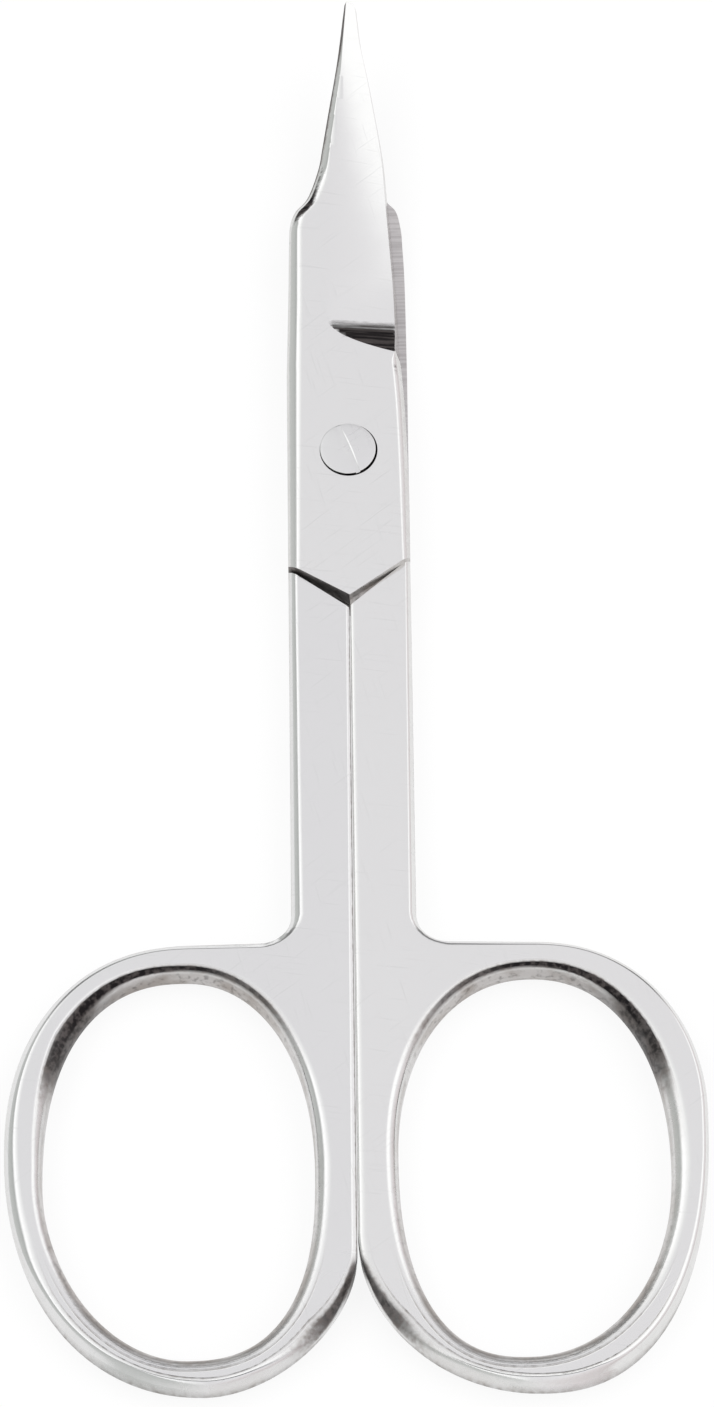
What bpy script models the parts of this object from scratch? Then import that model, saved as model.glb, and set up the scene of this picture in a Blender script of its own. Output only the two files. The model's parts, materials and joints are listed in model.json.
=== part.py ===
"""Curved nail scissors: two forged steel halves that turn on one slotted screw.

Each half is a blade, a joint plate, a shank and a finger ring in one piece. A half is drawn flat with
its outer face up and its handle at +X, with the pivot at the origin and the mating plane at z = 0.
The back half is then turned over, and both blades are bent upwards together.
In the finished part +X is right, +Y points to the tips and +Z is the side of the screw head.
"""

import math
from dataclasses import dataclass

import bmesh
import bpy
import numpy as np
from mathutils import Matrix, Vector

MM = 0.001

# Reach of the whole tool, measured from the pivot
BLADE_REACH = 31.6 * MM
HANDLE_REACH = 63.2 * MM

# Joint plate and shank
HALF_WIDTH = 3.92 * MM
PLATE_THICKNESS = 1.65 * MM
SHANK_THICKNESS = 2.1 * MM
EDGE_ROUNDING = 0.45 * MM
PLATE_GAP = 0.06 * MM
HANDLE_GAP = 0.12 * MM

# The V where a joint plate ends and the other half's shank begins
V_DEPTH = 10.35 * MM
V_RISE = 2.25 * MM
V_SIDE_GAP = 0.15 * MM
V_VERTEX_GAP = 0.65 * MM

# Blade: the ground outer face and its round runout, the inner relief, the taper and the upward bend
RUNOUT_REACH = 9.25 * MM
RUNOUT_RADIUS = 2.4 * MM
RUNOUT_YAW = math.radians(-9.0)
EDGE_DROP = 0.7 * MM
EDGE_LEAN = 0.25
TIP_LEAN_SHARE = 0.3
GRIND_START_SHARE = -0.33
BEND_START = 8.0 * MM
BEND_STEP = 0.9 * MM
TIP_RISE = 4.0 * MM
TIP_THICKNESS = 1.0 * MM
INNER_RELIEF = 0.12 * MM
RELIEF_RISE_SHARE = 0.15
TIP_ROUNDING_SHARE = 0.5

# Finger rings
RING_REACH = 21.75 * MM
RING_LENGTH = 29.2 * MM
BAND_OUTER = 2.35 * MM
BAND_INNER = 2.55 * MM
BAND_TOP = 2.0 * MM
BAND_BOTTOM = 2.25 * MM
SHOULDER_RADIUS = 1.95 * MM

# Pivot screw
HEAD_RADIUS = 1.8 * MM
HEAD_PROUD = 0.2 * MM
HEAD_EDGE = 0.12 * MM
RECESS_DEPTH = 0.85 * MM
HEAD_CLEARANCE = 0.08 * MM
SEAT_CLEARANCE = 0.03 * MM
JOURNAL_RADIUS = 1.15 * MM
THREAD_RADIUS = 1.0 * MM
BORE_CLEARANCE = 0.05 * MM
END_CHAMFER = 0.15 * MM
SLOT_WIDTH = 0.38 * MM
SLOT_DEPTH = 0.35 * MM
SLOT_ANGLE = math.radians(21.0)

# How far a cutter runs past what it cuts, and how near two points are one
OVERRUN = 2.0 * MM
SAME_PLACE = 0.0001 * MM

QUARTER_STEPS = 14
OUTLINE_STEPS = 3
ROUNDING_SEGMENTS = 3
TURN_STEPS = 48
FLAT_ANGLE = math.radians(0.05)
SHARP_ANGLE = math.radians(32.0)

# Steel: the halves are polished, the screw is a little duller
HALF_ROUGHNESS = 0.16
SCREW_ROUGHNESS = 0.22
SCREW_COLOUR = (0.7, 0.7, 0.7, 1.0)


@dataclass(frozen=True)
class Oval:
    """A closed oval made of four quarter superellipses.

    The shares say where its highest and lowest points lie, along its width from the inner side, and
    where its innermost and outermost points lie, along its length from the bottom. The fullness
    values are the quarters' exponents.
    """

    top_share: float
    bottom_share: float
    inner_share: float
    outer_share: float
    top_outer_fullness: float
    top_inner_fullness: float
    bottom_inner_fullness: float
    bottom_outer_fullness: float


@dataclass(frozen=True)
class Half:
    """What differs between the halves: the blade's outline and the hand-finished ovals of the ring.

    A blade point is a share of HALF_WIDTH across and a share of BLADE_REACH along. bend_side is 1
    where the blade bends towards the half's own outer face, and -1 where it bends away from it.
    """

    name: str
    bend_side: int
    spine_shares: tuple
    edge_shares: tuple
    ring: Oval
    hole: Oval
    colour: tuple


FRONT = Half(
    name="front_half",
    bend_side=1,
    spine_shares=(
        (-0.965, 0.35), (-0.945, 0.475), (-0.925, 0.52), (-0.835, 0.552), (-0.62, 0.584),
        (-0.44, 0.645), (-0.37, 0.69), (-0.27, 0.76), (-0.1, 0.875), (0.015, 0.975), (0.05, 0.994),
    ),
    edge_shares=(
        (0.14, 1.0), (0.225, 0.992), (0.25, 0.972), (0.305, 0.915), (0.4, 0.858), (0.495, 0.795),
        (0.65, 0.677), (0.72, 0.572), (0.775, 0.48), (0.835, 0.374), (0.87, 0.25), (0.9, 0.215),
        (1.0, 0.18),
    ),
    ring=Oval(0.532, 0.507, 0.36, 0.61, 2.08, 2.8, 2.0, 2.37),
    hole=Oval(0.5, 0.455, 0.525, 0.49, 2.33, 2.14, 2.44, 2.11),
    colour=(0.78, 0.78, 0.79, 1.0),
)

BACK = Half(
    name="back_half",
    bend_side=-1,
    spine_shares=(
        (-0.985, 0.4), (-0.955, 0.492), (-0.935, 0.528), (-0.86, 0.568), (-0.71, 0.59),
        (-0.56, 0.62), (-0.47, 0.66), (-0.41, 0.71), (-0.35, 0.78), (-0.29, 0.87), (-0.245, 0.965),
        (-0.22, 0.992),
    ),
    edge_shares=(
        (-0.15, 1.0), (-0.09, 0.99), (-0.06, 0.965), (0.04, 0.88), (0.27, 0.71), (0.47, 0.56),
        (0.68, 0.4), (0.85, 0.27), (0.9, 0.215), (1.0, 0.18),
    ),
    ring=Oval(0.485, 0.43, 0.315, 0.545, 2.2, 3.0, 1.81, 2.14),
    hole=Oval(0.48, 0.468, 0.48, 0.473, 2.58, 2.15, 2.54, 1.93),
    colour=(0.74, 0.74, 0.75, 1.0),
)


def clear_scene():
    """Remove whatever the scene holds."""
    for obj in list(bpy.data.objects):
        bpy.data.objects.remove(obj, do_unlink=True)


def new_collection(name):
    """A collection linked to the scene."""
    collection = bpy.data.collections.new(name)
    bpy.context.scene.collection.children.link(collection)
    return collection


def steel(name, colour, roughness):
    """A plain Principled metal."""
    material = bpy.data.materials.new(name)
    material.use_nodes = True
    shader = material.node_tree.nodes["Principled BSDF"]
    shader.inputs["Base Color"].default_value = colour
    shader.inputs["Metallic"].default_value = 1.0
    shader.inputs["Roughness"].default_value = roughness
    return material


def made_plain(obj, collection):
    """Turn a curve, or a mesh with modifiers, into a plain welded mesh object whose faces point out."""
    bpy.context.view_layer.update()
    graph = bpy.context.evaluated_depsgraph_get()
    mesh = bpy.data.meshes.new_from_object(obj.evaluated_get(graph))
    work = bmesh.new()
    work.from_mesh(mesh)
    bmesh.ops.remove_doubles(work, verts=work.verts, dist=SAME_PLACE)
    bmesh.ops.dissolve_limit(work, angle_limit=FLAT_ANGLE, verts=work.verts, edges=work.edges)
    bmesh.ops.recalc_face_normals(work, faces=work.faces)
    work.to_mesh(mesh)
    work.free()
    name = obj.name
    bpy.data.objects.remove(obj, do_unlink=True)
    plain = bpy.data.objects.new(name, mesh)
    collection.objects.link(plain)
    return plain


def flat_plate(name, loops, thickness, rounding, collection):
    """A plate centred on z = 0 from closed loops of (x, y) points, its rims rounded."""
    curve = bpy.data.curves.new(name, "CURVE")
    curve.dimensions = "2D"
    curve.fill_mode = "BOTH"
    curve.extrude = thickness / 2 - rounding
    curve.bevel_depth = rounding
    curve.offset = -rounding
    curve.bevel_resolution = ROUNDING_SEGMENTS - 1
    for loop in loops:
        spline = curve.splines.new("POLY")
        spline.points.add(len(loop) - 1)
        spline.use_cyclic_u = True
        for point, (x, y) in zip(spline.points, loop):
            point.co = (x, y, 0.0, 1.0)
    outline = bpy.data.objects.new(name, curve)
    collection.objects.link(outline)
    return made_plain(outline, collection)


def prism(name, loop, low, high, collection):
    """A sharp-edged block with the given outline between two heights."""
    block = flat_plate(name, [loop], high - low, 0.0, collection)
    block.data.transform(Matrix.Translation((0.0, 0.0, (low + high) / 2)))
    return block


def cylinder(name, radius, low, high, collection):
    """An upright cylinder on the pivot between two heights."""
    mesh = bpy.data.meshes.new(name)
    work = bmesh.new()
    bmesh.ops.create_cone(
        work, cap_ends=True, segments=TURN_STEPS, radius1=radius, radius2=radius, depth=high - low,
        matrix=Matrix.Translation((0.0, 0.0, (low + high) / 2)),
    )
    work.to_mesh(mesh)
    work.free()
    turned = bpy.data.objects.new(name, mesh)
    collection.objects.link(turned)
    return turned


def combine(target, tool, operation):
    """Join a tool to the target, or cut it out, and hide the tool."""
    modifier = target.modifiers.new(f"{operation.lower()} {tool.name}", "BOOLEAN")
    modifier.operation = operation
    modifier.solver = "EXACT"
    modifier.object = tool
    tool.hide_render = True
    tool.display_type = "WIRE"


def catmull_rom(points):
    """A smooth run of points through the given ones."""
    run = []
    for i in range(len(points) - 1):
        start, end = Vector(points[i]), Vector(points[i + 1])
        before = Vector(points[max(i - 1, 0)])
        after = Vector(points[min(i + 2, len(points) - 1)])
        leave, arrive = (end - before) / 2, (after - start) / 2
        for step in range(OUTLINE_STEPS):
            t = step / OUTLINE_STEPS
            blend = t * t * (3 - 2 * t)
            place = start.lerp(end, blend) + leave * t * (1 - t) ** 2 - arrive * t * t * (1 - t)
            run.append(tuple(place))
    run.append(tuple(points[-1]))
    return run


def quarter(centre, reach, fullness):
    """A quarter superellipse from its level end to its upright end, the last point left out.

    reach is signed, which chooses the quarter.
    """
    points = []
    for step in range(QUARTER_STEPS):
        angle = math.pi / 2 * step / QUARTER_STEPS
        across, along = math.cos(angle), math.sin(angle)
        swell = (across ** fullness + along ** fullness) ** (-1 / fullness)
        points.append((centre[0] + reach[0] * across * swell, centre[1] + reach[1] * along * swell))
    return points


def back_quarter(centre, reach, fullness):
    """The same quarter from its upright end to its level end, the last point left out."""
    swapped = quarter((centre[1], centre[0]), (reach[1], reach[0]), fullness)
    return [(x, y) for y, x in swapped]


def oval_quarters(oval, inner, outer, bottom, top):
    """The four quarters of an oval between the given sides, from its innermost point and down."""
    x_top = inner + oval.top_share * (outer - inner)
    x_bottom = inner + oval.bottom_share * (outer - inner)
    y_inner = bottom + oval.inner_share * (top - bottom)
    y_outer = bottom + oval.outer_share * (top - bottom)
    return (
        quarter((x_bottom, y_inner), (inner - x_bottom, bottom - y_inner), oval.bottom_inner_fullness),
        back_quarter((x_bottom, y_outer), (outer - x_bottom, bottom - y_outer), oval.bottom_outer_fullness),
        quarter((x_top, y_outer), (outer - x_top, top - y_outer), oval.top_outer_fullness),
        back_quarter((x_top, y_inner), (inner - x_top, top - y_inner), oval.top_inner_fullness),
    )


def arm_loops(half):
    """The outline of shank and ring, and that of the finger hole."""
    inner = HANDLE_GAP / 2
    bottom = -HANDLE_REACH
    top = bottom + RING_LENGTH
    neck = -(V_DEPTH - V_RISE - OVERRUN)
    ring = oval_quarters(half.ring, inner, RING_REACH, bottom, top)
    ring_top = (inner + half.ring.top_share * (RING_REACH - inner), top)
    fillet_centre = (HALF_WIDTH + SHOULDER_RADIUS, top + SHOULDER_RADIUS)
    fillet = back_quarter(fillet_centre, (-SHOULDER_RADIUS, -SHOULDER_RADIUS), 2)
    outline = ring[0] + ring[1] + ring[2] + [ring_top] + fillet
    outline += [(HALF_WIDTH, fillet_centre[1]), (HALF_WIDTH, neck), (inner, neck)]
    hole = oval_quarters(
        half.hole, inner + BAND_INNER, RING_REACH - BAND_OUTER, bottom + BAND_BOTTOM, top - BAND_TOP
    )
    return [outline, hole[0] + hole[1] + hole[2] + hole[3]]


def blade_rim(half):
    """The outline of joint plate and blade, up the spine, round the tip and down the cutting edge.

    Each point holds x, y, the rounding of the outer rim there and how far the side leans in per unit
    of height, which is what makes the cutting edge acute.
    """
    spine = [(-1.0, half.edge_shares[-1][1])] + list(half.spine_shares)
    points = []
    for across, along in spine + [half.edge_shares[0]]:
        rounding = EDGE_ROUNDING * (1.0 - (1.0 - TIP_ROUNDING_SHARE) * along)
        points.append((across * HALF_WIDTH, along * BLADE_REACH, rounding, 0.0))
    for across, along in half.edge_shares[1:-2]:
        lean = EDGE_LEAN * (1.0 - (1.0 - TIP_LEAN_SHARE) * along)
        points.append((across * HALF_WIDTH, along * BLADE_REACH, 0.0, lean))
    for across, along in half.edge_shares[-2:]:
        points.append((across * HALF_WIDTH, along * BLADE_REACH, EDGE_ROUNDING, 0.0))
    low = -(V_DEPTH + OVERRUN)
    return (
        [(-HALF_WIDTH, low, EDGE_ROUNDING, 0.0)]
        + catmull_rom(points)
        + [(HALF_WIDTH, low, EDGE_ROUNDING, 0.0)]
    )


def blade_blank(half, collection):
    """Joint plate and blade as one flat blank above the mating plane, its outer rim rounded.

    It is a loft, because the rounding changes along the rim and the cutting edge leans in.
    """
    rim = blade_rim(half)
    flat = [Vector(point[:2]) for point in rim]
    work = bmesh.new()
    rows = [[] for _ in range(ROUNDING_SEGMENTS + 2)]
    for i, (x, y, rounding, lean) in enumerate(rim):
        ahead = (flat[(i + 1) % len(flat)] - flat[i]).normalized()
        back = (flat[i] - flat[i - 1]).normalized()
        inward = Vector((ahead.y + back.y, -ahead.x - back.x)).normalized()
        rounding = max(rounding, 0.0)
        shoulder = PLATE_THICKNESS - rounding
        rows[0].append(work.verts.new((x, y, PLATE_GAP / 2)))
        for step in range(ROUNDING_SEGMENTS + 1):
            angle = math.pi / 2 * step / ROUNDING_SEGMENTS
            inset = lean * (shoulder - PLATE_GAP / 2) + rounding * (1.0 - math.cos(angle))
            height = shoulder + rounding * math.sin(angle)
            place = flat[i] + inward * inset
            rows[step + 1].append(work.verts.new((place.x, place.y, height)))
    for lower, upper in zip(rows, rows[1:]):
        for i in range(len(rim)):
            work.faces.new((lower[i - 1], lower[i], upper[i], upper[i - 1]))
    work.faces.new(rows[0])
    work.faces.new(rows[-1])
    bmesh.ops.remove_doubles(work, verts=work.verts, dist=SAME_PLACE)
    bmesh.ops.recalc_face_normals(work, faces=work.faces)
    mesh = bpy.data.meshes.new(half.name)
    work.to_mesh(mesh)
    work.free()
    blank = bpy.data.objects.new(half.name, mesh)
    collection.objects.link(blank)
    return blank


def v_points(left_level, vertex_level, right_level):
    """A V across the joint through three levels below the pivot, its arms run on past the sides."""
    rise_left = (vertex_level - left_level) / HALF_WIDTH
    rise_right = (vertex_level - right_level) / HALF_WIDTH
    reach = HALF_WIDTH + OVERRUN
    return [
        (-reach, -vertex_level + rise_left * reach),
        (0.0, -vertex_level),
        (reach, -vertex_level + rise_right * reach),
    ]


def v_cutter(half, collection):
    """What the plate lacks below its end wall, at left, and below its step to the shank, at right."""
    step_level = V_DEPTH - V_RISE + V_SIDE_GAP - V_VERTEX_GAP
    line = v_points(V_DEPTH - V_RISE, V_DEPTH, step_level)
    low = -(V_DEPTH + 2 * OVERRUN)
    reach = PLATE_THICKNESS + OVERRUN
    loop = line + [(line[-1][0], low), (line[0][0], low)]
    return prism(f"{half.name}_v_cutter", loop, -reach, reach, collection)


def mating_cutter(half, collection):
    """The room that the other half's plate and blade take up below this half's mating face."""
    side_level = V_DEPTH - V_RISE + V_SIDE_GAP
    line = v_points(side_level, V_DEPTH + V_VERTEX_GAP, side_level)
    high = BLADE_REACH + OVERRUN
    loop = line + [(line[-1][0], high), (line[0][0], high)]
    return prism(
        f"{half.name}_mating_cutter", loop, -(PLATE_THICKNESS + OVERRUN), PLATE_GAP / 2, collection
    )


def runout_cutter(half, collection):
    """What the grinding wheel takes off the blade's outer face, with the wheel's round at its near end."""
    drawn = back_quarter((0.0, RUNOUT_RADIUS), (-RUNOUT_RADIUS, -RUNOUT_RADIUS), 2)
    drawn += [(-RUNOUT_RADIUS, RUNOUT_RADIUS), (BLADE_REACH, RUNOUT_RADIUS), (BLADE_REACH, 0.0)]
    width = HALF_WIDTH + OVERRUN
    wheel = prism(f"{half.name}_runout_cutter", drawn, -width, width, collection)
    axes_moved_on = Matrix.Rotation(math.radians(120.0), 4, Vector((1.0, 1.0, 1.0)))
    start = GRIND_START_SHARE * HALF_WIDTH
    tilt = math.atan2(EDGE_DROP, HALF_WIDTH - start)
    corner = Matrix.Translation((start, RUNOUT_REACH, PLATE_THICKNESS))
    turn = Matrix.Rotation(RUNOUT_YAW, 4, "Z") @ Matrix.Rotation(tilt, 4, "Y")
    wheel.data.transform(corner @ turn @ axes_moved_on)
    return wheel


def spine_x(half, y):
    """Where the spine lies at a place along the blade."""
    across, along = zip((-1.0, half.edge_shares[-1][1]), *half.spine_shares)
    return float(np.interp(y / BLADE_REACH, along, across)) * HALF_WIDTH


def edge_x(half, y):
    """Where the cutting edge lies at a place along the blade."""
    across, along = zip(*reversed(half.edge_shares))
    return float(np.interp(y / BLADE_REACH, along, across)) * HALF_WIDTH


def bend_height(y):
    """How far the blade's bend lifts a place along it: an arc that rises TIP_RISE at the tip."""
    run = BLADE_REACH - BEND_START
    radius = (run ** 2 + TIP_RISE ** 2) / (2 * TIP_RISE)
    ahead = max(y - BEND_START, 0.0)
    return radius - math.sqrt(radius ** 2 - ahead ** 2)


def shape_blade(plain, half):
    """Thin the blade towards its tip, relieve its inner face towards the spine, and bend it."""
    work = bmesh.new()
    work.from_mesh(plain.data)
    run = BLADE_REACH - BEND_START
    steps = math.ceil(run / BEND_STEP)
    for step in range(steps):
        bmesh.ops.bisect_plane(
            work, geom=work.verts[:] + work.edges[:] + work.faces[:], dist=SAME_PLACE,
            plane_co=(0.0, BEND_START + run * step / steps, 0.0), plane_no=(0.0, 1.0, 0.0),
        )
    bmesh.ops.triangulate(work, faces=work.faces)
    face = PLATE_GAP / 2
    for vert in work.verts:
        x, y, z = vert.co
        along = max(y - BEND_START, 0.0) / run
        if z < face + SAME_PLACE and along > 0.0:
            spine, edge = spine_x(half, y), edge_x(half, y)
            to_spine = min(max((edge - x) / (edge - spine), 0.0), 1.0)
            z = face + INNER_RELIEF * to_spine * min(along / RELIEF_RISE_SHARE, 1.0)
        elif along > 0.0:
            z = face + (z - face) * (1.0 - (1.0 - TIP_THICKNESS / PLATE_THICKNESS) * along)
        vert.co.z = z + half.bend_side * bend_height(y)
    work.to_mesh(plain.data)
    work.free()


def front_screw_tools(collection):
    """What makes room in the front half for the screw's head and journal."""
    floor = PLATE_THICKNESS - RECESS_DEPTH
    high = PLATE_THICKNESS + OVERRUN
    recess = cylinder("head_recess_cutter", HEAD_RADIUS + HEAD_CLEARANCE, floor, high, collection)
    passage = cylinder(
        "journal_hole_cutter", JOURNAL_RADIUS + BORE_CLEARANCE, -OVERRUN, high, collection
    )
    return [recess, passage]


def back_screw_tools(collection):
    """What makes room in the back half for the screw's threaded end."""
    reach = PLATE_THICKNESS + OVERRUN
    return [cylinder("thread_hole_cutter", THREAD_RADIUS + BORE_CLEARANCE, -reach, reach, collection)]


def make_half(half, screw_tools, parts, tools):
    """One half of the scissors, drawn flat and then given its bend."""
    blank = blade_blank(half, tools)
    combine(blank, v_cutter(half, tools), "DIFFERENCE")
    arm = flat_plate(f"{half.name}_arm", arm_loops(half), SHANK_THICKNESS, EDGE_ROUNDING, tools)
    combine(blank, arm, "UNION")
    combine(blank, mating_cutter(half, tools), "DIFFERENCE")
    combine(blank, runout_cutter(half, tools), "DIFFERENCE")
    for tool in screw_tools:
        combine(blank, tool, "DIFFERENCE")
    made = made_plain(blank, parts)
    shape_blade(made, half)
    return made


def make_screw(parts, tools):
    """The pivot screw, with its head in the front half and its threaded end in the back half."""
    end = -PLATE_THICKNESS
    seat = PLATE_THICKNESS - RECESS_DEPTH + SEAT_CLEARANCE
    top = PLATE_THICKNESS + HEAD_PROUD
    shoulder = SEAT_CLEARANCE - PLATE_GAP / 2
    profile = [
        (0.0, end), (THREAD_RADIUS - END_CHAMFER, end), (THREAD_RADIUS, end + END_CHAMFER),
        (THREAD_RADIUS, shoulder), (JOURNAL_RADIUS, shoulder), (JOURNAL_RADIUS, seat),
        (HEAD_RADIUS, seat),
    ]
    for step in range(ROUNDING_SEGMENTS + 1):
        angle = math.pi / 2 * step / ROUNDING_SEGMENTS
        radius = HEAD_RADIUS - HEAD_EDGE * (1.0 - math.cos(angle))
        profile.append((radius, top - HEAD_EDGE * (1.0 - math.sin(angle))))
    profile.append((0.0, top))
    mesh = bpy.data.meshes.new("pivot_screw")
    edges = [(i, i + 1) for i in range(len(profile) - 1)]
    mesh.from_pydata([(radius, 0.0, height) for radius, height in profile], edges, [])
    screw = bpy.data.objects.new("pivot_screw", mesh)
    tools.objects.link(screw)
    turn = screw.modifiers.new("turn", "SCREW")
    turn.steps = turn.render_steps = TURN_STEPS
    turn.use_merge_vertices = True
    turn.merge_threshold = SAME_PLACE
    screw = made_plain(screw, tools)
    reach = HEAD_RADIUS + OVERRUN
    half_width = SLOT_WIDTH / 2
    corners = [(-half_width, -reach), (half_width, -reach), (half_width, reach), (-half_width, reach)]
    slot = prism("slot_cutter", corners, top - SLOT_DEPTH, top + OVERRUN, tools)
    slot.data.transform(Matrix.Rotation(SLOT_ANGLE, 4, "Z"))
    combine(screw, slot, "DIFFERENCE")
    return made_plain(screw, parts)


def finish(obj, pivot, material):
    """Hang a node on the pivot, give it its steel and shade its curved faces smooth."""
    obj.parent = pivot
    obj.data.materials.append(material)
    obj.data.shade_smooth()
    obj.data.set_sharp_from_angle(angle=SHARP_ANGLE)


def main():
    clear_scene()
    parts = new_collection("scissors")
    tools = new_collection("tools")
    front = make_half(FRONT, front_screw_tools(tools), parts, tools)
    back = make_half(BACK, back_screw_tools(tools), parts, tools)
    back.data.transform(Matrix.Rotation(math.pi, 4, "Y"))
    screw = make_screw(parts, tools)
    pivot = bpy.data.objects.new("pivot", None)
    pivot.location = (0.0, (HANDLE_REACH - BLADE_REACH) / 2, PLATE_THICKNESS)
    parts.objects.link(pivot)
    finish(front, pivot, steel("front_steel", FRONT.colour, HALF_ROUGHNESS))
    finish(back, pivot, steel("back_steel", BACK.colour, HALF_ROUGHNESS))
    finish(screw, pivot, steel("screw_steel", SCREW_COLOUR, SCREW_ROUGHNESS))


if __name__ == "__main__":
    main()
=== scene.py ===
"""Curved nail scissors in polished steel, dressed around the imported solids.

Both halves and the screw are modelled again here as fine smooth meshes on the same sizes as the solids
that they stand for, because polished steel shows every facet. Lengths are in metres. Each half is
drawn flat on the pivot, outer face up and handle at +X. The back half is turned over, and both
blades are bent upwards together.
"""

from __future__ import annotations

import json
import logging
import math
from dataclasses import dataclass, field
from enum import Enum

import bmesh
import bpy
from mathutils import Matrix, Vector

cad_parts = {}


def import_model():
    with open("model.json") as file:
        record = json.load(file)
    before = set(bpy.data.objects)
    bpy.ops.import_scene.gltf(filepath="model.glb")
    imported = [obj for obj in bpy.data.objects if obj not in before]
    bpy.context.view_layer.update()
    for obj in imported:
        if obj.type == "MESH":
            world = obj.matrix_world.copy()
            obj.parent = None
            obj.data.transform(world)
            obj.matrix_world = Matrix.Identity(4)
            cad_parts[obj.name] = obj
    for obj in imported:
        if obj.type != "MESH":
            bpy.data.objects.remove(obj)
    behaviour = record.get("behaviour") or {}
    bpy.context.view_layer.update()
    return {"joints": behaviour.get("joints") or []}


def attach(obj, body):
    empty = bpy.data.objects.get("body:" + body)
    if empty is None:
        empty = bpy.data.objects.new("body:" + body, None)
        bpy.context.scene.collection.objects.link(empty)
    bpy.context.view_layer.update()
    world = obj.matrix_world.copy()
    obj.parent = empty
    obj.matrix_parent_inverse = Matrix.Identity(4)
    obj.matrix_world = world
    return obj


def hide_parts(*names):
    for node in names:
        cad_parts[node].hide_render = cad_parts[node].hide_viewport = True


LOG = logging.getLogger("scissors")
MM = 0.001
# Points nearer than this are one point.
SAME_PLACE = 0.0001 * MM
# How far a cutter runs on past what it cuts.
OVERRUN = 2.0 * MM
# Edges that turn by more than this are shaded as sharp.
SHARP_ANGLE = math.radians(34.0)
# The least upright part of the normal of a level face.
LEVEL = 0.999999
# A colour at each face corner: forged skin, ground lines and oxide, and also painted shade and painted dark
# reflections.
FINISH_AND_SHADE_MASK = "finish_and_shade_mask"

# Where something starts, and where it is full.
Range = tuple[float, float]
Colour = tuple[float, float, float, float]
# How often a noise repeats in a metre, and its octaves.
NoiseSize = tuple[float, float]
# An angle from the outer side of a ring or hole in degrees, then a rim there in millimetres.
RimRow = tuple[float, float, float, float, float]


class Side(Enum):
    """Which half a piece is, with the way its blade bends in the half's own frame."""

    FRONT = 1
    BACK = -1


class Joining(Enum):
    """What is done with a tool: it is joined on, or what it takes up is cut out."""

    ADD = "UNION"
    CUT = "DIFFERENCE"


class Zone(Enum):
    """The places of a half that are finished in ways of their own."""

    SCREW_ROOM = "screw room"
    HOLE = "finger hole"
    HANDLE = "shank and ring"
    SHOULDER = "V"
    BLADE = "plate and blade"


@dataclass(frozen=True)
class Oval:
    """A closed oval of four quarter superellipses, as shares of its width and length.

    Attributes:
        top_share: Where its highest point lies across its width, from the inner side.
        bottom_share: Where its lowest point lies across its width.
        inner_share: Where its innermost point lies along its length, from the bottom.
        outer_share: Where its outermost point lies along its length.
        fullness: The exponents of the top outer, top inner, bottom inner and bottom outer quarters.
    """

    top_share: float
    bottom_share: float
    inner_share: float
    outer_share: float
    fullness: tuple[float, float, float, float]

    def points(self, inner: float, outer: float, bottom: float, top: float, steps: int) -> list[Vector]:
        """The oval between four sides, from its innermost point and down.

        Args:
            inner: The x of the side nearest the other half.
            outer: The x of the far side.
            bottom: The y of the lowest point.
            top: The y of the highest point.
            steps: Points in each quarter.

        Returns:
            The points, four quarters long.
        """
        x_top = inner + self.top_share * (outer - inner)
        x_bottom = inner + self.bottom_share * (outer - inner)
        y_inner = bottom + self.inner_share * (top - bottom)
        y_outer = bottom + self.outer_share * (top - bottom)
        top_outer, top_inner, bottom_inner, bottom_outer = self.fullness
        corners = (
            ((x_bottom, y_inner), (inner - x_bottom, bottom - y_inner), bottom_inner, False),
            ((x_bottom, y_outer), (outer - x_bottom, bottom - y_outer), bottom_outer, True),
            ((x_top, y_outer), (outer - x_top, top - y_outer), top_outer, False),
            ((x_top, y_inner), (inner - x_top, top - y_inner), top_inner, True),
        )
        loop: list[Vector] = []
        for centre, reach, fullness, backwards in corners:
            loop += quarter(centre, reach, fullness, steps, backwards)
        return loop


def quarter(
    centre: tuple[float, float], reach: tuple[float, float], fullness: float, steps: int, backwards: bool
) -> list[Vector]:
    """A quarter superellipse, its last point left out.

    Args:
        centre: Its centre.
        reach: Its half axes, signed, which chooses the quarter.
        fullness: Its exponent, 2 for an ellipse.
        steps: How many points it has.
        backwards: From its upright end to its level end, and not the other way.

    Returns:
        The points.
    """
    points = []
    for step in range(steps):
        angle = math.pi / 2 * (1.0 - step / steps if backwards else step / steps)
        across, along = math.cos(angle), math.sin(angle)
        swell = (abs(across) ** fullness + abs(along) ** fullness) ** (-1 / fullness)
        points.append(Vector((centre[0] + reach[0] * across * swell, centre[1] + reach[1] * along * swell)))
    return points


def smooth_run(points: list[Vector], steps: int) -> list[Vector]:
    """A Catmull-Rom run through points of any number of coordinates.

    Args:
        points: The points that it passes through.
        steps: How many points each stretch gets.

    Returns:
        The run, the last point included.
    """
    run = []
    for i in range(len(points) - 1):
        start, end = points[i], points[i + 1]
        leave = (end - points[max(i - 1, 0)]) / 2
        arrive = (points[min(i + 2, len(points) - 1)] - start) / 2
        for step in range(steps):
            t = step / steps
            blend = t * t * (3 - 2 * t)
            run.append(start.lerp(end, blend) + leave * t * (1 - t) ** 2 - arrive * t * t * (1 - t))
    run.append(points[-1].copy())
    return run


def held(value: float) -> float:
    """A value held between 0 and 1."""
    return min(max(value, 0.0), 1.0)


def ease(value: float, start: float, end: float) -> float:
    """A smooth step from 0 at start to 1 at end."""
    t = held((value - start) / (end - start))
    return t * t * (3 - 2 * t)


def turn_of(x: float, y: float) -> float:
    """The direction of an offset in plan, in degrees from +X, from 0 to 360."""
    return math.degrees(math.atan2(y, x)) % 360.0


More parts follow.
